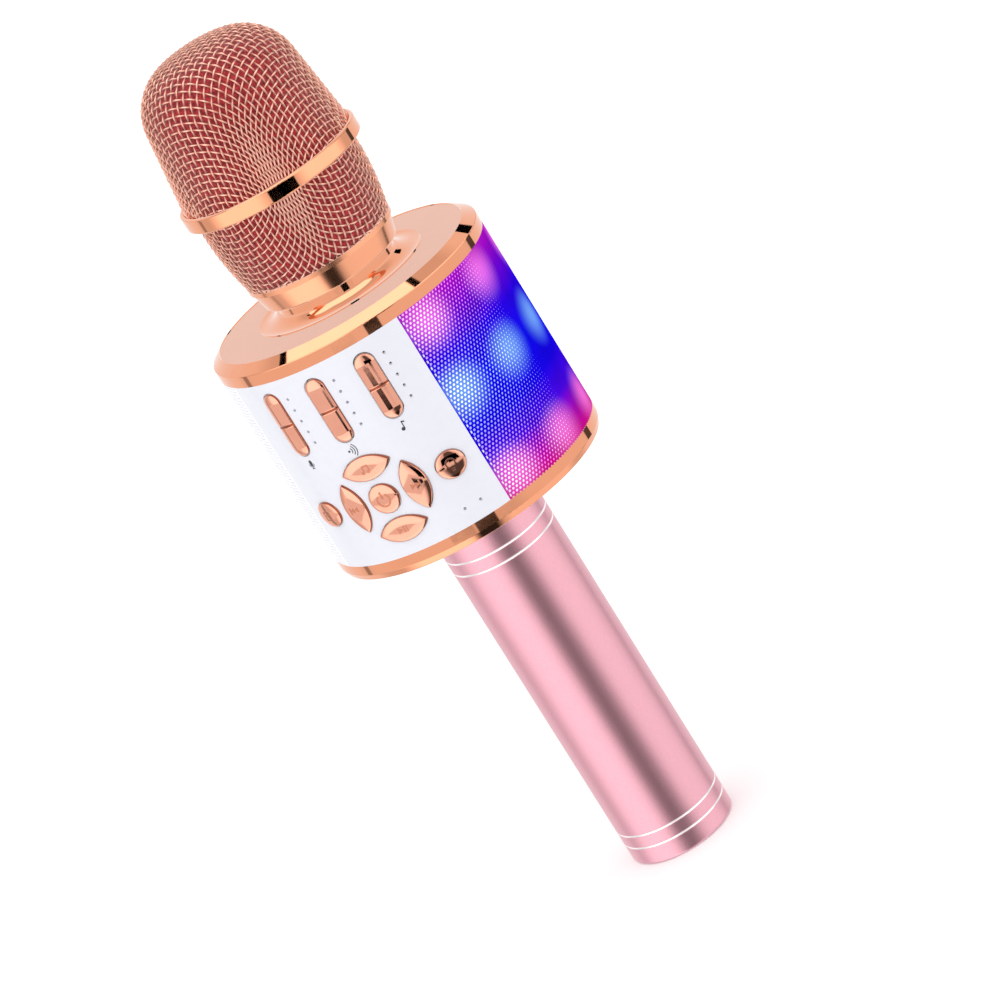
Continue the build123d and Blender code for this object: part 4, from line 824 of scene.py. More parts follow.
@dataclass
class WireNet:
    """Plain-woven square wire cloth pressed over a turned surface.

    The cloth keeps its pitch along both wires, so its squares shear into diamonds half
    way between its two wire directions, as pressed cloth does.
    """

    surface: TurnedSurface
    outward: float
    pitch: float = 2.05
    wire_radius: float = 0.215
    crimp: float = 0.24
    ease: float = 0.35
    cloth_azimuth: float = CAMERA_AZIMUTH + 45.0
    sides: int = 1
    longest_span: float = 2.5
    tries: int = 12
    probe: float = 1e-4
    flattest: float = 1e-9
    largest_step: tuple[float, float] = (0.8, 0.05)

    def knots(self) -> numpy.ndarray:
        """Works out where the wires cross in one quarter.

        Returns:
            An array of (length, angle) by wire number each way.
        """
        count = int(self.surface.lengths[-1] / self.pitch) + 3
        net = numpy.full((count, count, 2), numpy.nan)
        for i in range(count):
            net[i, 0] = (i * self.pitch, 0.0)
            net[0, i] = (i * self.pitch, math.pi / 2)
        for i in range(1, count):
            for j in range(1, i + 1):
                net[i, j] = self.crossing(net, i, j)
                net[j, i] = (net[i, j, 0], math.pi / 2 - net[i, j, 1])
        flat = numpy.arange(count) * self.pitch
        across, along = numpy.meshgrid(flat, flat, indexing="ij")
        radial = numpy.stack([numpy.hypot(across, along), numpy.arctan2(along, across)], axis=-1)
        eased = net * (1 - self.ease) + radial * self.ease
        return numpy.where(numpy.isnan(net), radial, eased)

    def crossing(self, net: numpy.ndarray, i: int, j: int) -> tuple[float, float]:
        """Finds a crossing one pitch from its two inner neighbours.

        Args:
            net: the crossings so far.
            i: wire number one way.
            j: wire number the other way.

        Returns:
            The length and angle of the crossing.
        """
        first, second, inner = net[i - 1, j], net[i, j - 1], net[i - 1, j - 1]
        if i == j:
            second = numpy.array([first[0], math.pi / 2 - first[1]])
        guess = first + second - inner
        if i == 1 and j == 1:
            guess = numpy.array([self.pitch * math.sqrt(2), math.pi / 4])
        a, b = self.surface.point(*first), self.surface.point(*second)
        limit = numpy.array(self.largest_step)
        for _ in range(self.tries):
            misses = self.misses(guess, a, b)
            slope = numpy.empty((2, 2))
            for axis in (0, 1):
                moved = guess.copy()
                moved[axis] += self.probe
                slope[:, axis] = (self.misses(moved, a, b) - misses) / self.probe
            if abs(numpy.linalg.det(slope)) < self.flattest:
                break
            change = numpy.linalg.solve(slope, misses)
            guess = guess - numpy.clip(change, -limit, limit)
        return guess[0], guess[1]

    def misses(self, place: numpy.ndarray, a: numpy.ndarray, b: numpy.ndarray) -> numpy.ndarray:
        """How far a place is from one pitch from a and from b."""
        here = self.surface.point(*place)
        return numpy.array([numpy.linalg.norm(here - a), numpy.linalg.norm(here - b)]) - self.pitch

    def crossing_point(self, net: numpy.ndarray, i: int, j: int, lift: float) -> Vector:
        """Places a crossing in the frame.

        Args:
            net: the quarter's crossings.
            i: wire number one way, negative past the pole.
            j: wire number the other way.
            lift: how far it stands off the surface, in millimetres.

        Returns:
            The point, in metres.
        """
        length, angle = net[abs(i), abs(j)]
        away = self.surface.normal(length, angle, self.outward)
        spot = self.surface.point(length, angle) + lift * away
        across = spot[0] * (1 if i >= 0 else -1)
        along = spot[1] * (1 if j >= 0 else -1)
        turn = math.radians(self.cloth_azimuth)
        x = across * math.sin(turn) + along * math.cos(turn)
        y = -across * math.cos(turn) + along * math.sin(turn)
        return Vector((x, y, spot[2])) * MM

    def wires(self, low: float, high: float) -> list[list[Vector]]:
        """Runs every wire over and under, and cuts it off at the rims.

        Args:
            low: lowest height that a wire reaches, in millimetres.
            high: highest height.

        Returns:
            The points of each wire's runs.
        """
        net = self.knots()
        last = net.shape[0] - 1
        span = range(-last, last + 1)
        runs: list[list[Vector]] = []
        for swap in (False, True):
            for j in span:
                line = []
                for i in span:
                    over = 1 if (i + j) % 2 == (1 if swap else 0) else -1
                    pair = (j, i) if swap else (i, j)
                    line.append(self.crossing_point(net, *pair, over * self.crimp))
                runs.extend(self.cut_runs(line, low * MM, high * MM))
        return runs

    def cut_runs(self, line: Sequence[Vector], low: float, high: float) -> list[list[Vector]]:
        """Splits one wire where it passes the rims.

        Args:
            line: its crossings.
            low: lowest height, in metres.
            high: highest height, in metres.

        Returns:
            The runs between the rims, each with a point half way between crossings.
        """
        runs: list[list[Vector]] = []
        run: list[Vector] = []
        for here, there in zip(line, line[1:]):
            inside, next_inside = low <= here.z <= high, low <= there.z <= high
            if inside != next_inside and abs(there.z - here.z) > 1e-7:
                rim = low if min(here.z, there.z) < low else high
                cut = here.lerp(there, (rim - here.z) / (there.z - here.z))
                if inside:
                    run.extend([here, cut])
                    runs.append(run)
                    run = []
                else:
                    run = [cut]
            elif inside:
                run.extend([here, here.lerp(there, 0.5)])
        if len(run) > 1:
            runs.append(run)
        longest = self.longest_span * self.pitch * MM
        return [r for r in runs if max((b - a).length for a, b in zip(r, r[1:])) < longest]

    def build(
        self, name: str, low: float, high: float, material: bpy.types.Material
    ) -> bpy.types.Object:
        """Makes the cloth as one piece on the head.

        Args:
            name: the piece's name.
            low: lowest height, in millimetres.
            high: highest height.
            material: the wire's finish.

        Returns:
            The cloth.
        """
        curve = bpy.data.curves.new(name, "CURVE")
        curve.dimensions = "3D"
        curve.bevel_depth = self.wire_radius * MM
        curve.bevel_resolution = self.sides
        curve.use_fill_caps = True
        for run in self.wires(low, high):
            spline = curve.splines.new("POLY")
            spline.points.add(len(run) - 1)
            for point, place in zip(spline.points, run):
                point.co = (*place, 1.0)
        guide = bpy.data.objects.new(name + "_guide", curve)
        bpy.context.collection.objects.link(guide)
        mesh = bpy.data.meshes.new_from_object(
            guide.evaluated_get(bpy.context.evaluated_depsgraph_get()))
        bpy.data.objects.remove(guide)
        bm = bmesh.new()
        bm.from_mesh(mesh)
        bpy.data.meshes.remove(mesh)
        self.mark_crests(bm)
        return new_piece(name, bm, "head", material)

    def mark_crests(self, bm: bmesh.types.BMesh) -> None:
        """Notes how high each vertex stands off the cloth's middle, from 0 to 1, for the wire's
        painted highlight and shade.
        """
        layer = bm.verts.layers.float.new(WIRE.attribute)
        places = numpy.array([(math.hypot(v.co.x, v.co.y), v.co.z) for v in bm.verts]) / MM
        starts = numpy.stack([self.surface.radii, self.surface.heights], axis=1)
        steps = numpy.diff(starts, axis=0)
        nearest = numpy.full(len(places), 1e9)
        lifts = numpy.zeros(len(places))
        for start, step in zip(starts, steps):
            size = float(step @ step)
            if size < 1e-9:
                continue
            share = numpy.clip((places - start) @ step / size, 0.0, 1.0)
            off = places - (start + share[:, None] * step)
            distance = numpy.hypot(off[:, 0], off[:, 1])
            side = numpy.sign(off[:, 0] * -step[1] + off[:, 1] * step[0]) * self.outward
            closer = distance < nearest
            nearest = numpy.where(closer, distance, nearest)
            lifts = numpy.where(closer, distance * side, lifts)
        reach = self.crimp + self.wire_radius
        for vert, lift in zip(bm.verts, lifts):
            vert[layer] = min(1.0, max(0.0, 0.5 + 0.5 * lift / reach))


@dataclass
class Head:
    """The screw-off head: woven dome and basket, the ring between them, the foam and the collar.

    Lengths are in millimetres, and follow the frame's dome and basket.
    """

    dome_base_radius: float = 25.1
    dome_shoulder_radius: float = 22.3
    dome_shoulder_rise: float = 23.6
    shoulder_round: float = 15.2
    dome_height: float = 37.7
    basket_bulge_radius: float = 23.7
    basket_arc_radius: float = 74.0
    basket_bulge_drop: float = 3.75
    basket_floor_drop: float = 4.0
    basket_wall_steps: int = 40
    floor_corner: float = 3.0
    floor_bevel: float = 0.9
    cloth_inset: float = 0.42
    cloth_carry: float = 40.0
    cloth_ceiling: float = 400.0
    dome_hem: float = 0.25
    basket_foot_hem: float = 0.2
    basket_rim_hem: float = 0.05
    foam_inset: float = 1.2
    foam_thickness: float = 4.0
    foam_steps: int = 12
    foam_waist_gap: float = 1.0
    foam_waist_step: float = 1.2
    foam_waist_clear: float = 0.2
    foam_neck_drop: float = 0.6
    foam_lump: float = 0.25
    foam_waves: int = 6
    foam_wave_first: int = 300
    foam_wave_step: int = 170

    def dome_profile(self, inset: float, skirt: float) -> tuple[list[float], list[float]]:
        """Follows the dome from its pole to its base.

        Args:
            inset: how far inside the dome's outer face.
            skirt: how far the wall is carried on below the base.

        Returns:
            Radii and heights, in millimetres.
        """
        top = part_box("grille_dome")[1].z / MM
        taper = math.atan(
            (self.dome_base_radius - self.dome_shoulder_radius) / self.dome_shoulder_rise)
        rounding = self.shoulder_round
        centre_r = self.dome_shoulder_radius - rounding * math.cos(taper)
        centre_z = self.dome_shoulder_rise - rounding * math.sin(taper)
        below = centre_z - self.dome_height
        crown = (rounding**2 - centre_r**2 - below**2) / (2 * (below + rounding))
        meet = math.atan2(centre_r, centre_z - (self.dome_height - crown))
        radii, heights = [], []
        for step in range(25):
            angle = meet * step / 24
            radii.append((crown - inset) * math.sin(angle))
            heights.append(self.dome_height - crown + (crown - inset) * math.cos(angle))
        for step in range(1, 33):
            angle = meet + (math.pi / 2 - taper - meet) * step / 32
            radii.append(centre_r + (rounding - inset) * math.sin(angle))
            heights.append(centre_z + (rounding - inset) * math.cos(angle))
        wall = self.dome_shoulder_rise + skirt
        radii.append(radii[-1] + wall * math.tan(taper))
        heights.append(heights[-1] - wall)
        base = top - self.dome_height
        return radii, [base + h for h in heights]

    def basket_profile(
        self, inset: float, floor_drop: float, rise: float
    ) -> tuple[list[float], list[float]]:
        """Follows the basket from a pole on the axis, below the collar, up past the ring.

        Args:
            inset: how far inside the basket's outer face.
            floor_drop: how far the pressed cloth's own floor is below the basket.
            rise: how far the wall is carried on above the basket.

        Returns:
            Radii and heights, in millimetres.
        """
        low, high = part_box("grille_basket")[0].z / MM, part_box("grille_ring")[0].z / MM
        start = low - floor_drop
        first = self.basket_radius(low) - inset
        corner, bevel, steps = self.floor_corner, self.floor_bevel, self.basket_wall_steps
        radii, heights = [0.0, first - corner, first - bevel], [start, start, start + bevel]
        for step in range(steps + 1):
            height = start + corner + (high + rise - start - corner) * step / steps
            radii.append(self.basket_radius(height) - inset)
            heights.append(height)
        return radii, heights

    def basket_radius(self, height: float) -> float:
        """The basket's outer radius at a height, widest a little below the ring."""
        off = height - (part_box("grille_ring")[0].z / MM - self.basket_bulge_drop)
        return self.basket_bulge_radius - self.basket_arc_radius + math.sqrt(
            self.basket_arc_radius**2 - off**2)

    def build(self) -> None:
        """Makes the cloth and the foam."""
        wire = WIRE.make()
        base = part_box("grille_dome")[0].z / MM
        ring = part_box("grille_ring")
        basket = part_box("grille_basket")
        surface = TurnedSurface(
            *(numpy.array(p) for p in self.dome_profile(self.cloth_inset, self.cloth_carry)))
        dome = WireNet(surface, 1.0).build(
            "woven_dome", base + self.dome_hem, self.cloth_ceiling, wire)
        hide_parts("grille_dome")
        profile = self.basket_profile(self.cloth_inset, self.basket_floor_drop, self.cloth_carry)
        surface = TurnedSurface(*(numpy.array(p) for p in profile))
        net = WireNet(surface, -1.0)
        foot, rim = basket[0].z / MM + self.basket_foot_hem, ring[0].z / MM - self.basket_rim_hem
        cloth = net.build("woven_basket", foot, rim, wire)
        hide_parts("grille_basket")
        self.build_foam()

    def build_foam(self) -> None:
        """Turns the foam lining: a thick cap, hollow from its foot up, its rim closed."""
        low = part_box("foam_windscreen")[0].z / MM
        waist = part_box("grille_ring")[0].z / MM
        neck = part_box("grille_ring")[1].z / MM
        bm = bmesh.new()
        outer = self.foam_line(self.foam_inset, low, waist, neck)
        inner = self.foam_line(self.foam_inset + self.foam_thickness, low, waist, neck)
        line = outer + inner[::-1]
        verts = [bm.verts.new((r * MM, 0, z * MM)) for r, z in line]
        joined = [pair for pair in zip(
            verts, verts[1:] + verts[:1]) if max(v.co.x for v in pair) > 0.01 * MM]
        edges = [bm.edges.new(pair) for pair in joined]
        bmesh.ops.spin(bm, geom=verts + edges, axis=(0, 0, 1), cent=(0, 0, 0), angle=TURN,
            steps=120, use_merge=True)
        bmesh.ops.remove_doubles(bm, verts=bm.verts, dist=1e-6)
        bmesh.ops.recalc_face_normals(bm, faces=bm.faces)
        rng = numpy.random.default_rng(7)
        phases = rng.uniform(0, TURN, self.foam_waves)
        first, gain = self.foam_wave_first, self.foam_wave_step
        for vert in bm.verts:
            wave = sum(
                math.sin(vert.co[k % 3] * (first + gain * k) + phases[k])
                for k in range(self.foam_waves)) / self.foam_waves
            vert.co *= 1 - self.foam_lump * MM * abs(wave) / max(vert.co.length, MM) * 0.5
        foam = new_piece("foam_lining", bm, "head", OpenFoam().make())
        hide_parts("foam_windscreen")

    def foam_line(
        self, inset: float, low: float, waist: float, neck: float
    ) -> list[tuple[float, float]]:
        """Follows the foam's face from its foot to its pole.

        Args:
            inset: how far inside the cloth's outer face, in millimetres.
            low: height of the foot.
            waist: height of the ring's lower face.
            neck: height of the ring's upper face.

        Returns:
            Radius and height of each point, in millimetres.
        """
        line = []
        for step in range(self.foam_steps + 1):
            height = low + (waist - self.foam_waist_gap - low) * step / self.foam_steps
            line.append((self.basket_radius(height) - inset, height))
        line.append((line[-1][0] - self.foam_waist_step, waist + self.foam_waist_clear))
        line.append((line[-1][0], neck - self.foam_neck_drop))
        radii, heights = self.dome_profile(inset, 0.0)
        clear = neck + self.foam_waist_clear
        upper = [(r, h) for r, h in zip(radii[::-1], heights[::-1]) if h > clear]
        return line + [(max(r, 0.0), h) for r, h in upper]


# ------------------------------------------------------------------- the body


@dataclass
class PerforatedSheet:
    """A thin steel sheet punched with close round holes in staggered rows, bent round the body."""

    side: Side
    pitch: float = 1.15
    hole_share: float = 0.31
    thickness: float = 0.45
    hem: float = 0.5
    lip_width: float = 4.2
    lip_gap: float = 0.12
    lip_inset: float = 0.15
    lip_trim: float = 0.4
    lip_thickness: float = 0.2
    middle_azimuth: float = 90.0

    def build(self, material: bpy.types.Material) -> bpy.types.Object:
        """Punches the flat sheet, trims it and bends it.

        Args:
            material: the sheet's finish, with the lamps' light painted on it as painted light.

        Returns:
            The sheet, in place of the frame's plain one.
        """
        radius, half_width, height, level = self.span()
        bm = bmesh.new()
        step_x, step_y = self.pitch * MM, self.pitch * math.sqrt(3) * MM
        for shift in (Vector((0, 0, 0)), Vector((step_x / 2, step_y / 2, 0))):
            self.add_cell(bm, shift)
        self.repeat(bm, Vector((step_x, 0, 0)), math.ceil(2 * half_width / step_x) + 2)
        self.repeat(bm, Vector((0, step_y, 0)), math.ceil(height / step_y) + 2)
        bmesh.ops.remove_doubles(bm, verts=bm.verts, dist=2e-6)
        bmesh.ops.translate(bm, verts=bm.verts, vec=(-half_width - step_x, -height / 2 - step_y, 0))
        cut = half_width - self.hem * MM
        for spot, way in (
            ((cut, 0, 0), (1, 0, 0)), ((-cut, 0, 0), (-1, 0, 0)),
            ((0, height / 2, 0), (0, 1, 0)), ((0, -height / 2, 0), (0, -1, 0)),
        ):
            bmesh.ops.bisect_plane(
                bm, geom=bm.verts[:] + bm.edges[:] + bm.faces[:], dist=1e-7,
                plane_co=spot, plane_no=way, clear_outer=True)
        for middle in (cut + self.hem * MM / 2, -cut - self.hem * MM / 2):
            stretch = Matrix.Diagonal((self.hem * MM, height, 1, 1))
            place = Matrix.Translation((middle, 0, 0)) @ stretch
            bmesh.ops.create_grid(bm, x_segments=1, y_segments=24, size=0.5, matrix=place)
        bmesh.ops.recalc_face_normals(bm, faces=bm.faces)
        bm.faces.ensure_lookup_table()
        if bm.faces[0].normal.z < 0:
            bmesh.ops.reverse_faces(bm, faces=bm.faces)
        thicken(bm, -self.thickness * MM, keep=True)
        wrap(bm, self.middle_azimuth * self.side.value, level, radius)
        name = self.side.name.lower()
        sheet = new_piece(
            f"perforated_{name}", bm, "body", material, smooth=False)
        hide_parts(f"grille_{name}")
        return sheet

    def span(self) -> tuple[float, float, float, float]:
        """Measures the frame's plain sheet.

        Returns:
            Its radius, half its width along the wall, its height and its middle level, in metres.
        """
        low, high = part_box(f"grille_{self.side.name.lower()}")
        radius = max(abs(low.x), abs(high.x))
        half = math.atan2(abs(low.x if self.side is Side.RIGHT else high.x), -low.y)
        return radius, radius * (math.pi / 2 - half), high.z - low.z, (low.z + high.z) / 2

    def build_lips(self, film: bpy.types.Material) -> None:
        """Bends the diffuser's two glued edge strips, which carry its light up to the panels.

        Args:
            film: the diffuser's finish.
        """
        name = self.side.name.lower()
        radius, half_width, height, level = self.span()
        height -= self.lip_trim * MM
        face = -(self.thickness + self.lip_gap) * MM
        for place, sign in (("front", -1), ("rear", 1)):
            bm = bmesh.new()
            inset = (self.lip_inset + self.lip_width / 2) * MM
            middle = sign * self.side.value * (half_width - inset)
            stretch = Matrix.Diagonal((self.lip_width * MM, height, 1, 1))
            spot = Matrix.Translation((middle, 0, face)) @ stretch
            bmesh.ops.create_grid(bm, x_segments=12, y_segments=24, size=0.5, matrix=spot)
            thicken(bm, -self.lip_thickness * MM, keep=True)
            wrap(bm, self.middle_azimuth * self.side.value, level, radius)
            new_piece(f"lip_{place}_{name}", bm, "body", film, smooth=False)

    def add_cell(self, bm: bmesh.types.BMesh, shift: Vector) -> None:
        """Adds one hexagonal cell with its hole."""
        cell = bmesh.ops.create_circle(
            bm, cap_ends=True, segments=6, radius=self.pitch / math.sqrt(3) * MM,
            matrix=Matrix.Translation(shift))
        faces = list({f for v in cell["verts"] for f in v.link_faces})
        rim = (self.pitch / 2 - self.pitch * self.hole_share) * MM
        bmesh.ops.inset_region(
            bm, faces=faces, thickness=rim, use_even_offset=True,
            use_boundary=True)
        bmesh.ops.delete(bm, geom=faces, context="FACES")

    def repeat(self, bm: bmesh.types.BMesh, step: Vector, count: int) -> None:
        """Repeats all of the mesh in a row, doubling it each time.

        Args:
            bm: the mesh.
            step: from one copy to the next.
            count: least number of copies.
        """
        done = 1
        while done < count:
            copied = bmesh.ops.duplicate(bm, geom=bm.verts[:] + bm.edges[:] + bm.faces[:])["geom"]
            verts = [g for g in copied if isinstance(g, bmesh.types.BMVert)]
            bmesh.ops.translate(bm, verts=verts, vec=step * done)
            done *= 2


@dataclass(frozen=True)
class Bar:
    """A straight stroke: its middle, size and turn, in millimetres and degrees."""

    x: float
    y: float
    width: float
    height: float
    turn: float = 0.0

    def draw(self, bm: bmesh.types.BMesh) -> None:
        """Adds the stroke's face."""
        place = Matrix.Translation(
            (self.x * MM, self.y * MM, 0)) @ Matrix.Rotation(math.radians(self.turn), 4, "Z")
        scale = Matrix.Diagonal((self.width * MM, self.height * MM, 1, 1))
        bmesh.ops.create_grid(bm, x_segments=1, y_segments=4, size=0.5, matrix=place @ scale)


@dataclass(frozen=True)
class Disc:
    """A filled round or many-sided spot. Three sides make an arrow head."""

    x: float
    y: float
    radius: float
    sides: int = 24
    turn: float = 0.0

    def draw(self, bm: bmesh.types.BMesh) -> None:
        """Adds the spot's face."""
        place = Matrix.Translation(
            (self.x * MM, self.y * MM, 0)) @ Matrix.Rotation(math.radians(self.turn), 4, "Z")
        bmesh.ops.create_circle(
            bm, cap_ends=True, segments=self.sides, radius=self.radius * MM, matrix=place)


@dataclass(frozen=True)
class Arc:
    """A curved stroke: its centre, radius, width, and its start and sweep in degrees."""

    x: float
    y: float
    radius: float
    width: float
    start: float = 0.0
    sweep: float = 360.0

    def draw(self, bm: bmesh.types.BMesh) -> None:
        """Adds the stroke's faces, spun from a short line."""
        angle = math.radians(self.start)
        ends = [
            bm.verts.new(
                ((self.x + r * math.cos(angle)) * MM, (self.y + r * math.sin(angle)) * MM, 0))
            for r in (self.radius - self.width / 2, self.radius + self.width / 2)]
        edge = bm.edges.new(ends)
        bmesh.ops.spin(
            bm, geom=ends + [edge], axis=(0, 0, 1), cent=(self.x * MM, self.y * MM, 0),
            angle=math.radians(self.sweep), steps=max(
                6, round(self.sweep / 15)), use_merge=self.sweep >= 360)


Stroke = Bar | Disc | Arc
POWER = (Arc(0, -0.15, 1.75, 0.55, 125, 290), Bar(0, 1.35, 0.55, 2.1))
BACK = (Bar(-1.5, 0, 0.45, 2.4), Disc(-0.55, 0, 1.1, 3, 90), Disc(0.95, 0, 1.1, 3, 90))
NEXT = (Bar(1.5, 0, 0.45, 2.4), Disc(0.55, 0, 1.1, 3, -90), Disc(-0.95, 0, 1.1, 3, -90))
PLAY = (Disc(-0.9, 0, 1.3, 3, -90), Bar(0.75, 0, 0.45, 2.2), Bar(1.65, 0, 0.45, 2.2))
NOTE = (Disc(-0.9, -0.9, 0.62), Disc(
    1.0, -0.9, 0.62), Bar(-0.45, 0.15, 0.36, 2.1), Bar(1.45, 0.15, 0.36, 2.1),
        Bar(0.5, 1.15, 2.26, 0.55))
BULB = (Arc(0, 0.45, 1.25, 0.42, -60, 300), Bar(0, -1.15, 1.1, 0.4), Bar(0, -1.8, 0.9, 0.4))
PAGE = (Bar(
    -1.0, 0, 0.38, 2.7), Bar(1.0, 0, 0.38, 2.7), Bar(0, 1.25, 1.7, 0.38), Bar(0, -1.25, 1.7, 0.38),
        Bar(0, 0.2, 0.9, 0.34))
VOICE = (Disc(
    0, 0.75, 0.62), Bar(0, 0.3, 1.24, 0.9), Disc(0, -0.15, 0.62), Arc(0, 0, 1.05, 0.24, 180, 180),
         Bar(0, -1.3, 0.24, 0.6), Bar(0, -1.62, 1.2, 0.24))
ECHO = (Disc(-1.7, 0, 0.38), Arc(-1.7, 0, 1.1, 0.28, -50, 100), Arc(-1.7, 0, 1.9, 0.28, -50, 100),
        Arc(-1.7, 0, 2.7, 0.28, -50, 100))
TUNE = (Disc(-0.55, -1.05, 0.6), Bar(-0.07, 0.25, 0.3, 2.4), Bar(0.45, 1.1, 0.9, 0.42, -28))


class Outline(Enum):
    """The plan shapes of the keys and rockers."""

    OVAL = "oval"
    LEAF = "leaf"
    PILL = "pill"


@dataclass
class Cushion:
    """A key or rocker as a moulded cushion: upright skirt, rounded shoulder, gently domed face.

    Lengths are in millimetres. The height is where its crown stands above the wall.
    """

    node: str
    outline: Outline
    width: float
    height: float
    crown: float = 0.95
    skirt: float = 0.75
    bulge: float = 0.62
    roundness: float = 2.6
    sides: int = 72
    rings: int = 12
    edge_rings: int = 2
    groove: float = 0.0
    groove_depth: float = 0.6
    groove_cuts: tuple[float, ...] = (1.0, 1.5, 2.4)
    # How far the painted shade reaches on either side of the groove, as a share of its half width.
    groove_shade_reach: float = 1.6
    spine_cuts: int = 6

    def plan(self, angle: float, share: float) -> tuple[float, float]:
        """A point of the outline drawn in towards its middle.

        Args:
            angle: where it is round the outline, in radians.
            share: 1 on the outline and 0 in the middle.

        Returns:
            The point, in millimetres.
        """
        half_w, half_h = self.width / 2, self.height / 2
        across, along = math.cos(angle), math.sin(angle)
        if self.outline is Outline.PILL:
            spine = (half_h - half_w) * (1 if along >= 0 else -1)
            return half_w * across * share, spine + half_w * along * share
        if self.outline is Outline.OVAL:
            return half_w * across * share, half_h * along * share
        long, short = max(half_w, half_h), min(half_w, half_h)
        bend = (long**2 + short**2) / (2 * short)
        run = across if half_w >= half_h else along
        x = long * run
        y = (math.sqrt(bend**2 - x**2) - (bend - short)) * (
            1 if (along if half_w >= half_h else across) >= 0 else -1)
        return (x * share, y * share) if half_w >= half_h else (y * share, x * share)

    def build(self, face: bpy.types.Material, edge: bpy.types.Material) -> bpy.types.Object:
        """Extrudes the outline inwards and upwards, ring by ring, and wraps it round the wall.

        Args:
            face: finish of the domed face.
            edge: the key plate painted darker, as painted shade on the skirt and shoulder and in a
                rocker's groove.

        Returns:
            The cushion, in place of the frame's plain one.
        """
        low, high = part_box(self.node)
        azimuth = wall_azimuth(self.node)
        wall = -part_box("front_panel")[0].y
        bm = bmesh.new()
        ring = bmesh.ops.create_circle(bm, cap_ends=False, segments=self.sides, radius=1.0)["verts"]
        angles = [math.atan2(v.co.y, v.co.x) for v in ring]
        levels = [(1.0, -self.skirt), (1.0, self.crown - self.bulge)]
        for number in range(1, self.rings + 1):
            share = math.cos(number / self.rings * math.pi / 2)
            rise = (1 - share**self.roundness) ** (1 / self.roundness)
            levels.append((share, self.crown - self.bulge * (1 - rise)))
        for number, (share, rise) in enumerate(levels):
            if number:
                edges = list(
                    {e for v in ring for e in v.link_edges if all(w in ring for w in e.verts)})
                moved = bmesh.ops.extrude_edge_only(bm, edges=edges)["geom"]
                fresh = [g for g in moved if isinstance(g, bmesh.types.BMVert)]
                ring = sorted(fresh, key=lambda v: order[(round(v.co.x, 9), round(v.co.y, 9))])
                # Painted shade: the skirt and shoulder rings take the darker plate.
                for face_made in {f for v in ring for f in v.link_faces}:
                    face_made.material_index = 1 if number <= self.edge_rings + 1 else 0
            for vert, angle in zip(ring, angles):
                x, y = self.plan(angle, share + 1e-4 * (number == len(levels) - 1))
                vert.co = Vector((x, y, rise)) * MM
            order = {(round(v.co.x, 9), round(v.co.y, 9)): k for k, v in enumerate(ring)}
        bmesh.ops.remove_doubles(bm, verts=bm.verts, dist=3e-6)
        if self.groove:
            self.cut_groove(bm)
        bmesh.ops.holes_fill(bm, edges=[e for e in bm.edges if e.is_boundary], sides=0)
        bmesh.ops.recalc_face_normals(bm, faces=bm.faces)
        wrap(bm, azimuth, (low.z + high.z) / 2, wall)
        piece = new_piece(f"cap_{self.node}", bm, self.node, face)
        piece.data.materials.append(edge)
        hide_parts(self.node)
        return piece

    def cut_groove(self, bm: bmesh.types.BMesh) -> None:
        """Presses the groove between a rocker's two ends, and gives it and the faces beside it the
        darker plate as painted shade.
        """
        half = self.groove / 2 * MM
        spine = (self.height - self.width) / 2 * MM
        cuts = [half * share for share in self.groove_cuts]
        cuts += [spine * k / self.spine_cuts for k in range(1, self.spine_cuts + 1)]
        for y in cuts + [-c for c in cuts]:
            bmesh.ops.bisect_plane(
                bm, geom=bm.verts[:] + bm.edges[:] + bm.faces[:], dist=1e-7,
                plane_co=(0, y, 0), plane_no=(0, 1, 0))
        for vert in bm.verts:
            if abs(vert.co.y) <= half * 1.01 and vert.co.z > 0:
                vert.co.z -= self.groove_depth * MM
        # Painted shade: the groove and the faces beside it take the darker plate.
        for face in bm.faces:
            if max(abs(v.co.y) for v in face.verts) <= half * self.groove_shade_reach:
                face.material_index = 1


@dataclass
class Mark:
    """A raised or printed generic pictogram on the body's round wall."""

    name: str
    strokes: Sequence[Stroke]
    body: str
    slot: Slot
    azimuth: float
    level: float
    radius: float
    height: float
    scale: float = 1.0

    def build(self, material: bpy.types.Material) -> bpy.types.Object:
        """Draws the strokes flat, thickens them and wraps them round the wall.

        Args:
            material: the mark's finish.

        Returns:
            The mark.
        """
        bm = bmesh.new()
        for stroke in self.strokes:
            stroke.draw(bm)
        bmesh.ops.scale(bm, verts=bm.verts, vec=(self.scale, self.scale, 1))
        for face in bm.faces:
            if face.normal.z < 0:
                face.normal_flip()
        thicken(bm, self.height * MM, keep=False)
        wrap(bm, self.azimuth, self.level, self.radius)
        return new_piece(self.name, bm, self.body, material, smooth=False)


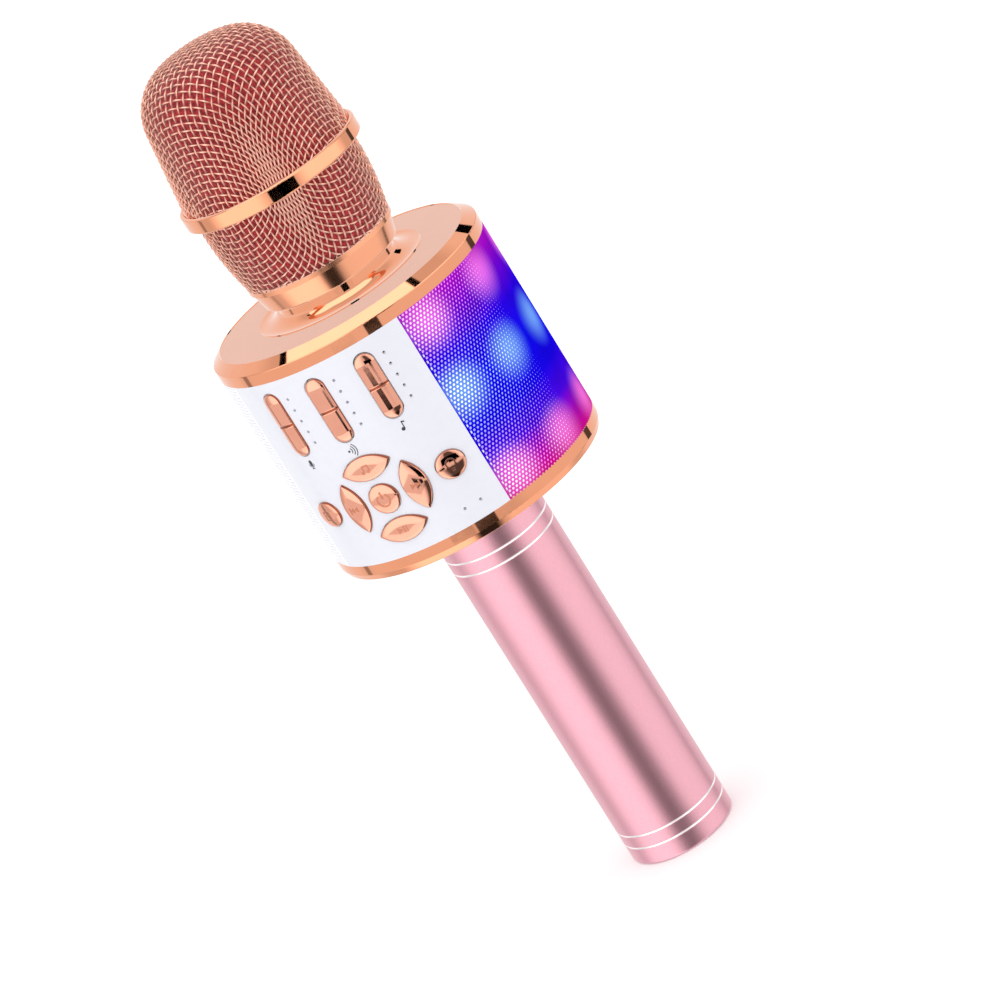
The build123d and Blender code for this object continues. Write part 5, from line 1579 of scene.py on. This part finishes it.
@dataclass
class SpeakerBody:
    """The round loudspeaker body: panel, keys and rockers, lit windows, covers and rings."""

    lamp_rows: tuple[tuple[float, float, float, int], ...] = (
        (170.45, 50.0, 33.0, 3), (150.05, 47.0, 27.0, 4), (124.05, 48.0, 28.0, 4))
    wall_radius: float = 39.7
    icon_height: float = 0.26
    icon_sink: float = 0.1
    ink_height: float = 0.04
    label_level: float = 151.2
    label_scale: float = 0.85
    right_lit: tuple[float, float] = (10.0, 20.0)
    left_lit: tuple[float, float] = (58.0, 84.0)
    # Painted light: the punched steel sheet glows with the lamps' colours and pale lamp patches,
    # though its light comes from the film behind it.
    sheet_glow: LampGlow = LampGlow(
        "steel_sheet_punched_lit",
        ((118.9, "D0108A"), (124.0, "B010B0"), (131.0, "4A08E0"), (139.0, "1A06E8"),
         (150.0, "0C0CF0"), (160.0, "2A06E6"), (168.0, "7006D0"), (176.2, "B010C8")),
        ((118.9, "FF70D0"), (128.0, "F070E8"), (140.0, "6A90FF"),
         (156.0, "7AB0FF"), (165.0, "E070FF"), (176.2, "FF70E8")),
        "F2F2F7", 0.85, 0.08, 0.5, 9.5, 0.3)
    film_glow: LampGlow = LampGlow(
        "polycarbonate_diffuser_lit",
        ((118.9, "FF7AD0"), (124.0, "F884E8"), (131.0, "B88CFF"), (139.0, "9AA0FF"),
         (150.0, "A0B8FF"), (160.0, "A894FF"), (168.0, "DC86FF"), (176.2, "F088FF")),
        ((118.9, "FFF0FA"), (128.0, "FFF0FC"), (140.0, "F2FAFF"),
         (156.0, "FAFDFF"), (165.0, "FFF0FF"), (176.2, "FFECFC")),
        "E4E4EC", 1.25, 0.3, 0.5, 9.5, 1.0)

    def build(self) -> None:
        """Makes the lit windows, the caps and the marks."""
        self.build_windows()
        self.build_caps()
        self.build_marks()

    def build_caps(self) -> None:
        """Moulds the seven key caps and the three rockers."""
        # The second finish is the key plate painted darker, as shade on skirts, shoulders and
        # grooves.
        face, edge = KEY.make(), KEY_SHADE.make()
        caps = [
            Cushion(
                f"rocker_{name}", Outline.PILL, 5.6, 19.0, crown=0.9, bulge=0.85, roundness=2.1,
                groove=0.45)
            for name in ("mic", "echo", "music")]
        caps += [
            Cushion("key_up", Outline.LEAF, 14.9, 6.9),
            Cushion("key_down", Outline.LEAF, 14.9, 6.9),
            Cushion("key_left", Outline.LEAF, 6.9, 14.9),
            Cushion("key_right", Outline.LEAF, 6.9, 14.9),
            Cushion("key_power", Outline.OVAL, 8.5, 8.5),
            Cushion("key_lamp", Outline.OVAL, 8.2, 7.6),
            Cushion("key_mode", Outline.OVAL, 8.2, 7.6)]
        for cap in caps:
            cap.build(face, edge)

    def lamps(self, side: Side) -> list[Vector]:
        """The places of one side's lamps on its sheet, in metres."""
        places = []
        for level, first, step, count in self.lamp_rows:
            for number in range(count):
                azimuth = (first + step * number) * side.value
                places.append(
                    on_cylinder(Vector((0, 0, 0)), azimuth, level * MM, self.wall_radius * MM))
        return places

    def build_windows(self) -> None:
        """Punches both sheets, with the lamps' light painted on them, and lights the films behind
        them.
        """
        for side in Side:
            lit = self.right_lit if side is Side.RIGHT else self.left_lit
            lamps = self.lamps(side)
            sheet = PerforatedSheet(side)
            sheet.build(self.sheet_glow.make(side, lamps, *lit))
            film = self.film_glow.make(side, lamps, *lit)
            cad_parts[f"diffuser_{side.name.lower()}"].data.materials[0] = film
            sheet.build_lips(film)

    def build_marks(self) -> None:
        """Raises the signs on the keys and prints the ones under the rockers."""
        # The signs are the key plate coloured darker, as painted shade.
        metal = ICON.make()
        for key, strokes, turn_scale in (
            ("power", POWER, 1.0), ("left", BACK, 0.85), ("right", NEXT, 0.85), ("up", NOTE, 0.85),
            ("down", PLAY, 0.85), ("lamp", BULB, 1.0), ("mode", PAGE, 1.0),
        ):
            node = f"key_{key}"
            low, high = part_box(node)
            middle = (low + high) / 2
            azimuth = wall_azimuth(node)
            reach = max(math.hypot(v.co.x, v.co.y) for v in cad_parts[node].data.vertices)
            Mark(f"icon_{key}", strokes, node, Slot.ROSE_KEY, azimuth, middle.z,
                reach - self.icon_sink * MM, self.icon_height, turn_scale).build(metal)
        ink = Plain(
            "screen_ink_dark_grey", "3C3C42", "2E2E34", 0.55, grain_mm=0.3, depth=0.05).make()
        radius = -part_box("front_panel")[0].y
        for name, strokes in (("mic", VOICE), ("echo", ECHO), ("music", TUNE)):
            azimuth = wall_azimuth(f"rocker_{name}")
            Mark(f"print_{name}", strokes, "body", Slot.WHITE_PANEL, azimuth, self.label_level * MM,
                radius, self.ink_height, self.label_scale).build(ink)


def dress_nodes() -> None:
    """Gives every CAD node its finish, and keeps all but the ring out of the mirrors."""
    plated = {Slot.ROSE_MIRROR: MIRROR, Slot.ROSE_SATIN: SATIN, Slot.ROSE_KEY: KEY}
    made: dict[Slot, bpy.types.Material] = {}
    lit = (Slot.PUNCHED_SHEET, Slot.DIFFUSER_FILM, Slot.WOVEN_WIRE, Slot.RED_FOAM)
    for name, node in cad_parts.items():
        node.visible_glossy = name == "grille_ring"
        slot = Slot(node.data.materials[0].name.split(".")[0])
        if slot in lit:
            continue
        if slot not in made:
            if slot is Slot.PINK_ANODISED:
                made[slot] = AnodisedTube().make()
            else:
                made[slot] = plated.get(slot, FINISHES.get(slot)).make()
        node.data.materials[0] = made[slot]
        log.info("%s: %s", name, made[slot].name)
    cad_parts["head_collar"].data.materials[0] = COLLAR.make()


def main() -> None:
    """Builds the studio, then the microphone."""
    logging.basicConfig(level=logging.INFO, format="%(name)s: %(message)s")
    Studio().build()
    dress_nodes()
    Head().build()
    SpeakerBody().build()


if __name__ == "__main__":
    main()
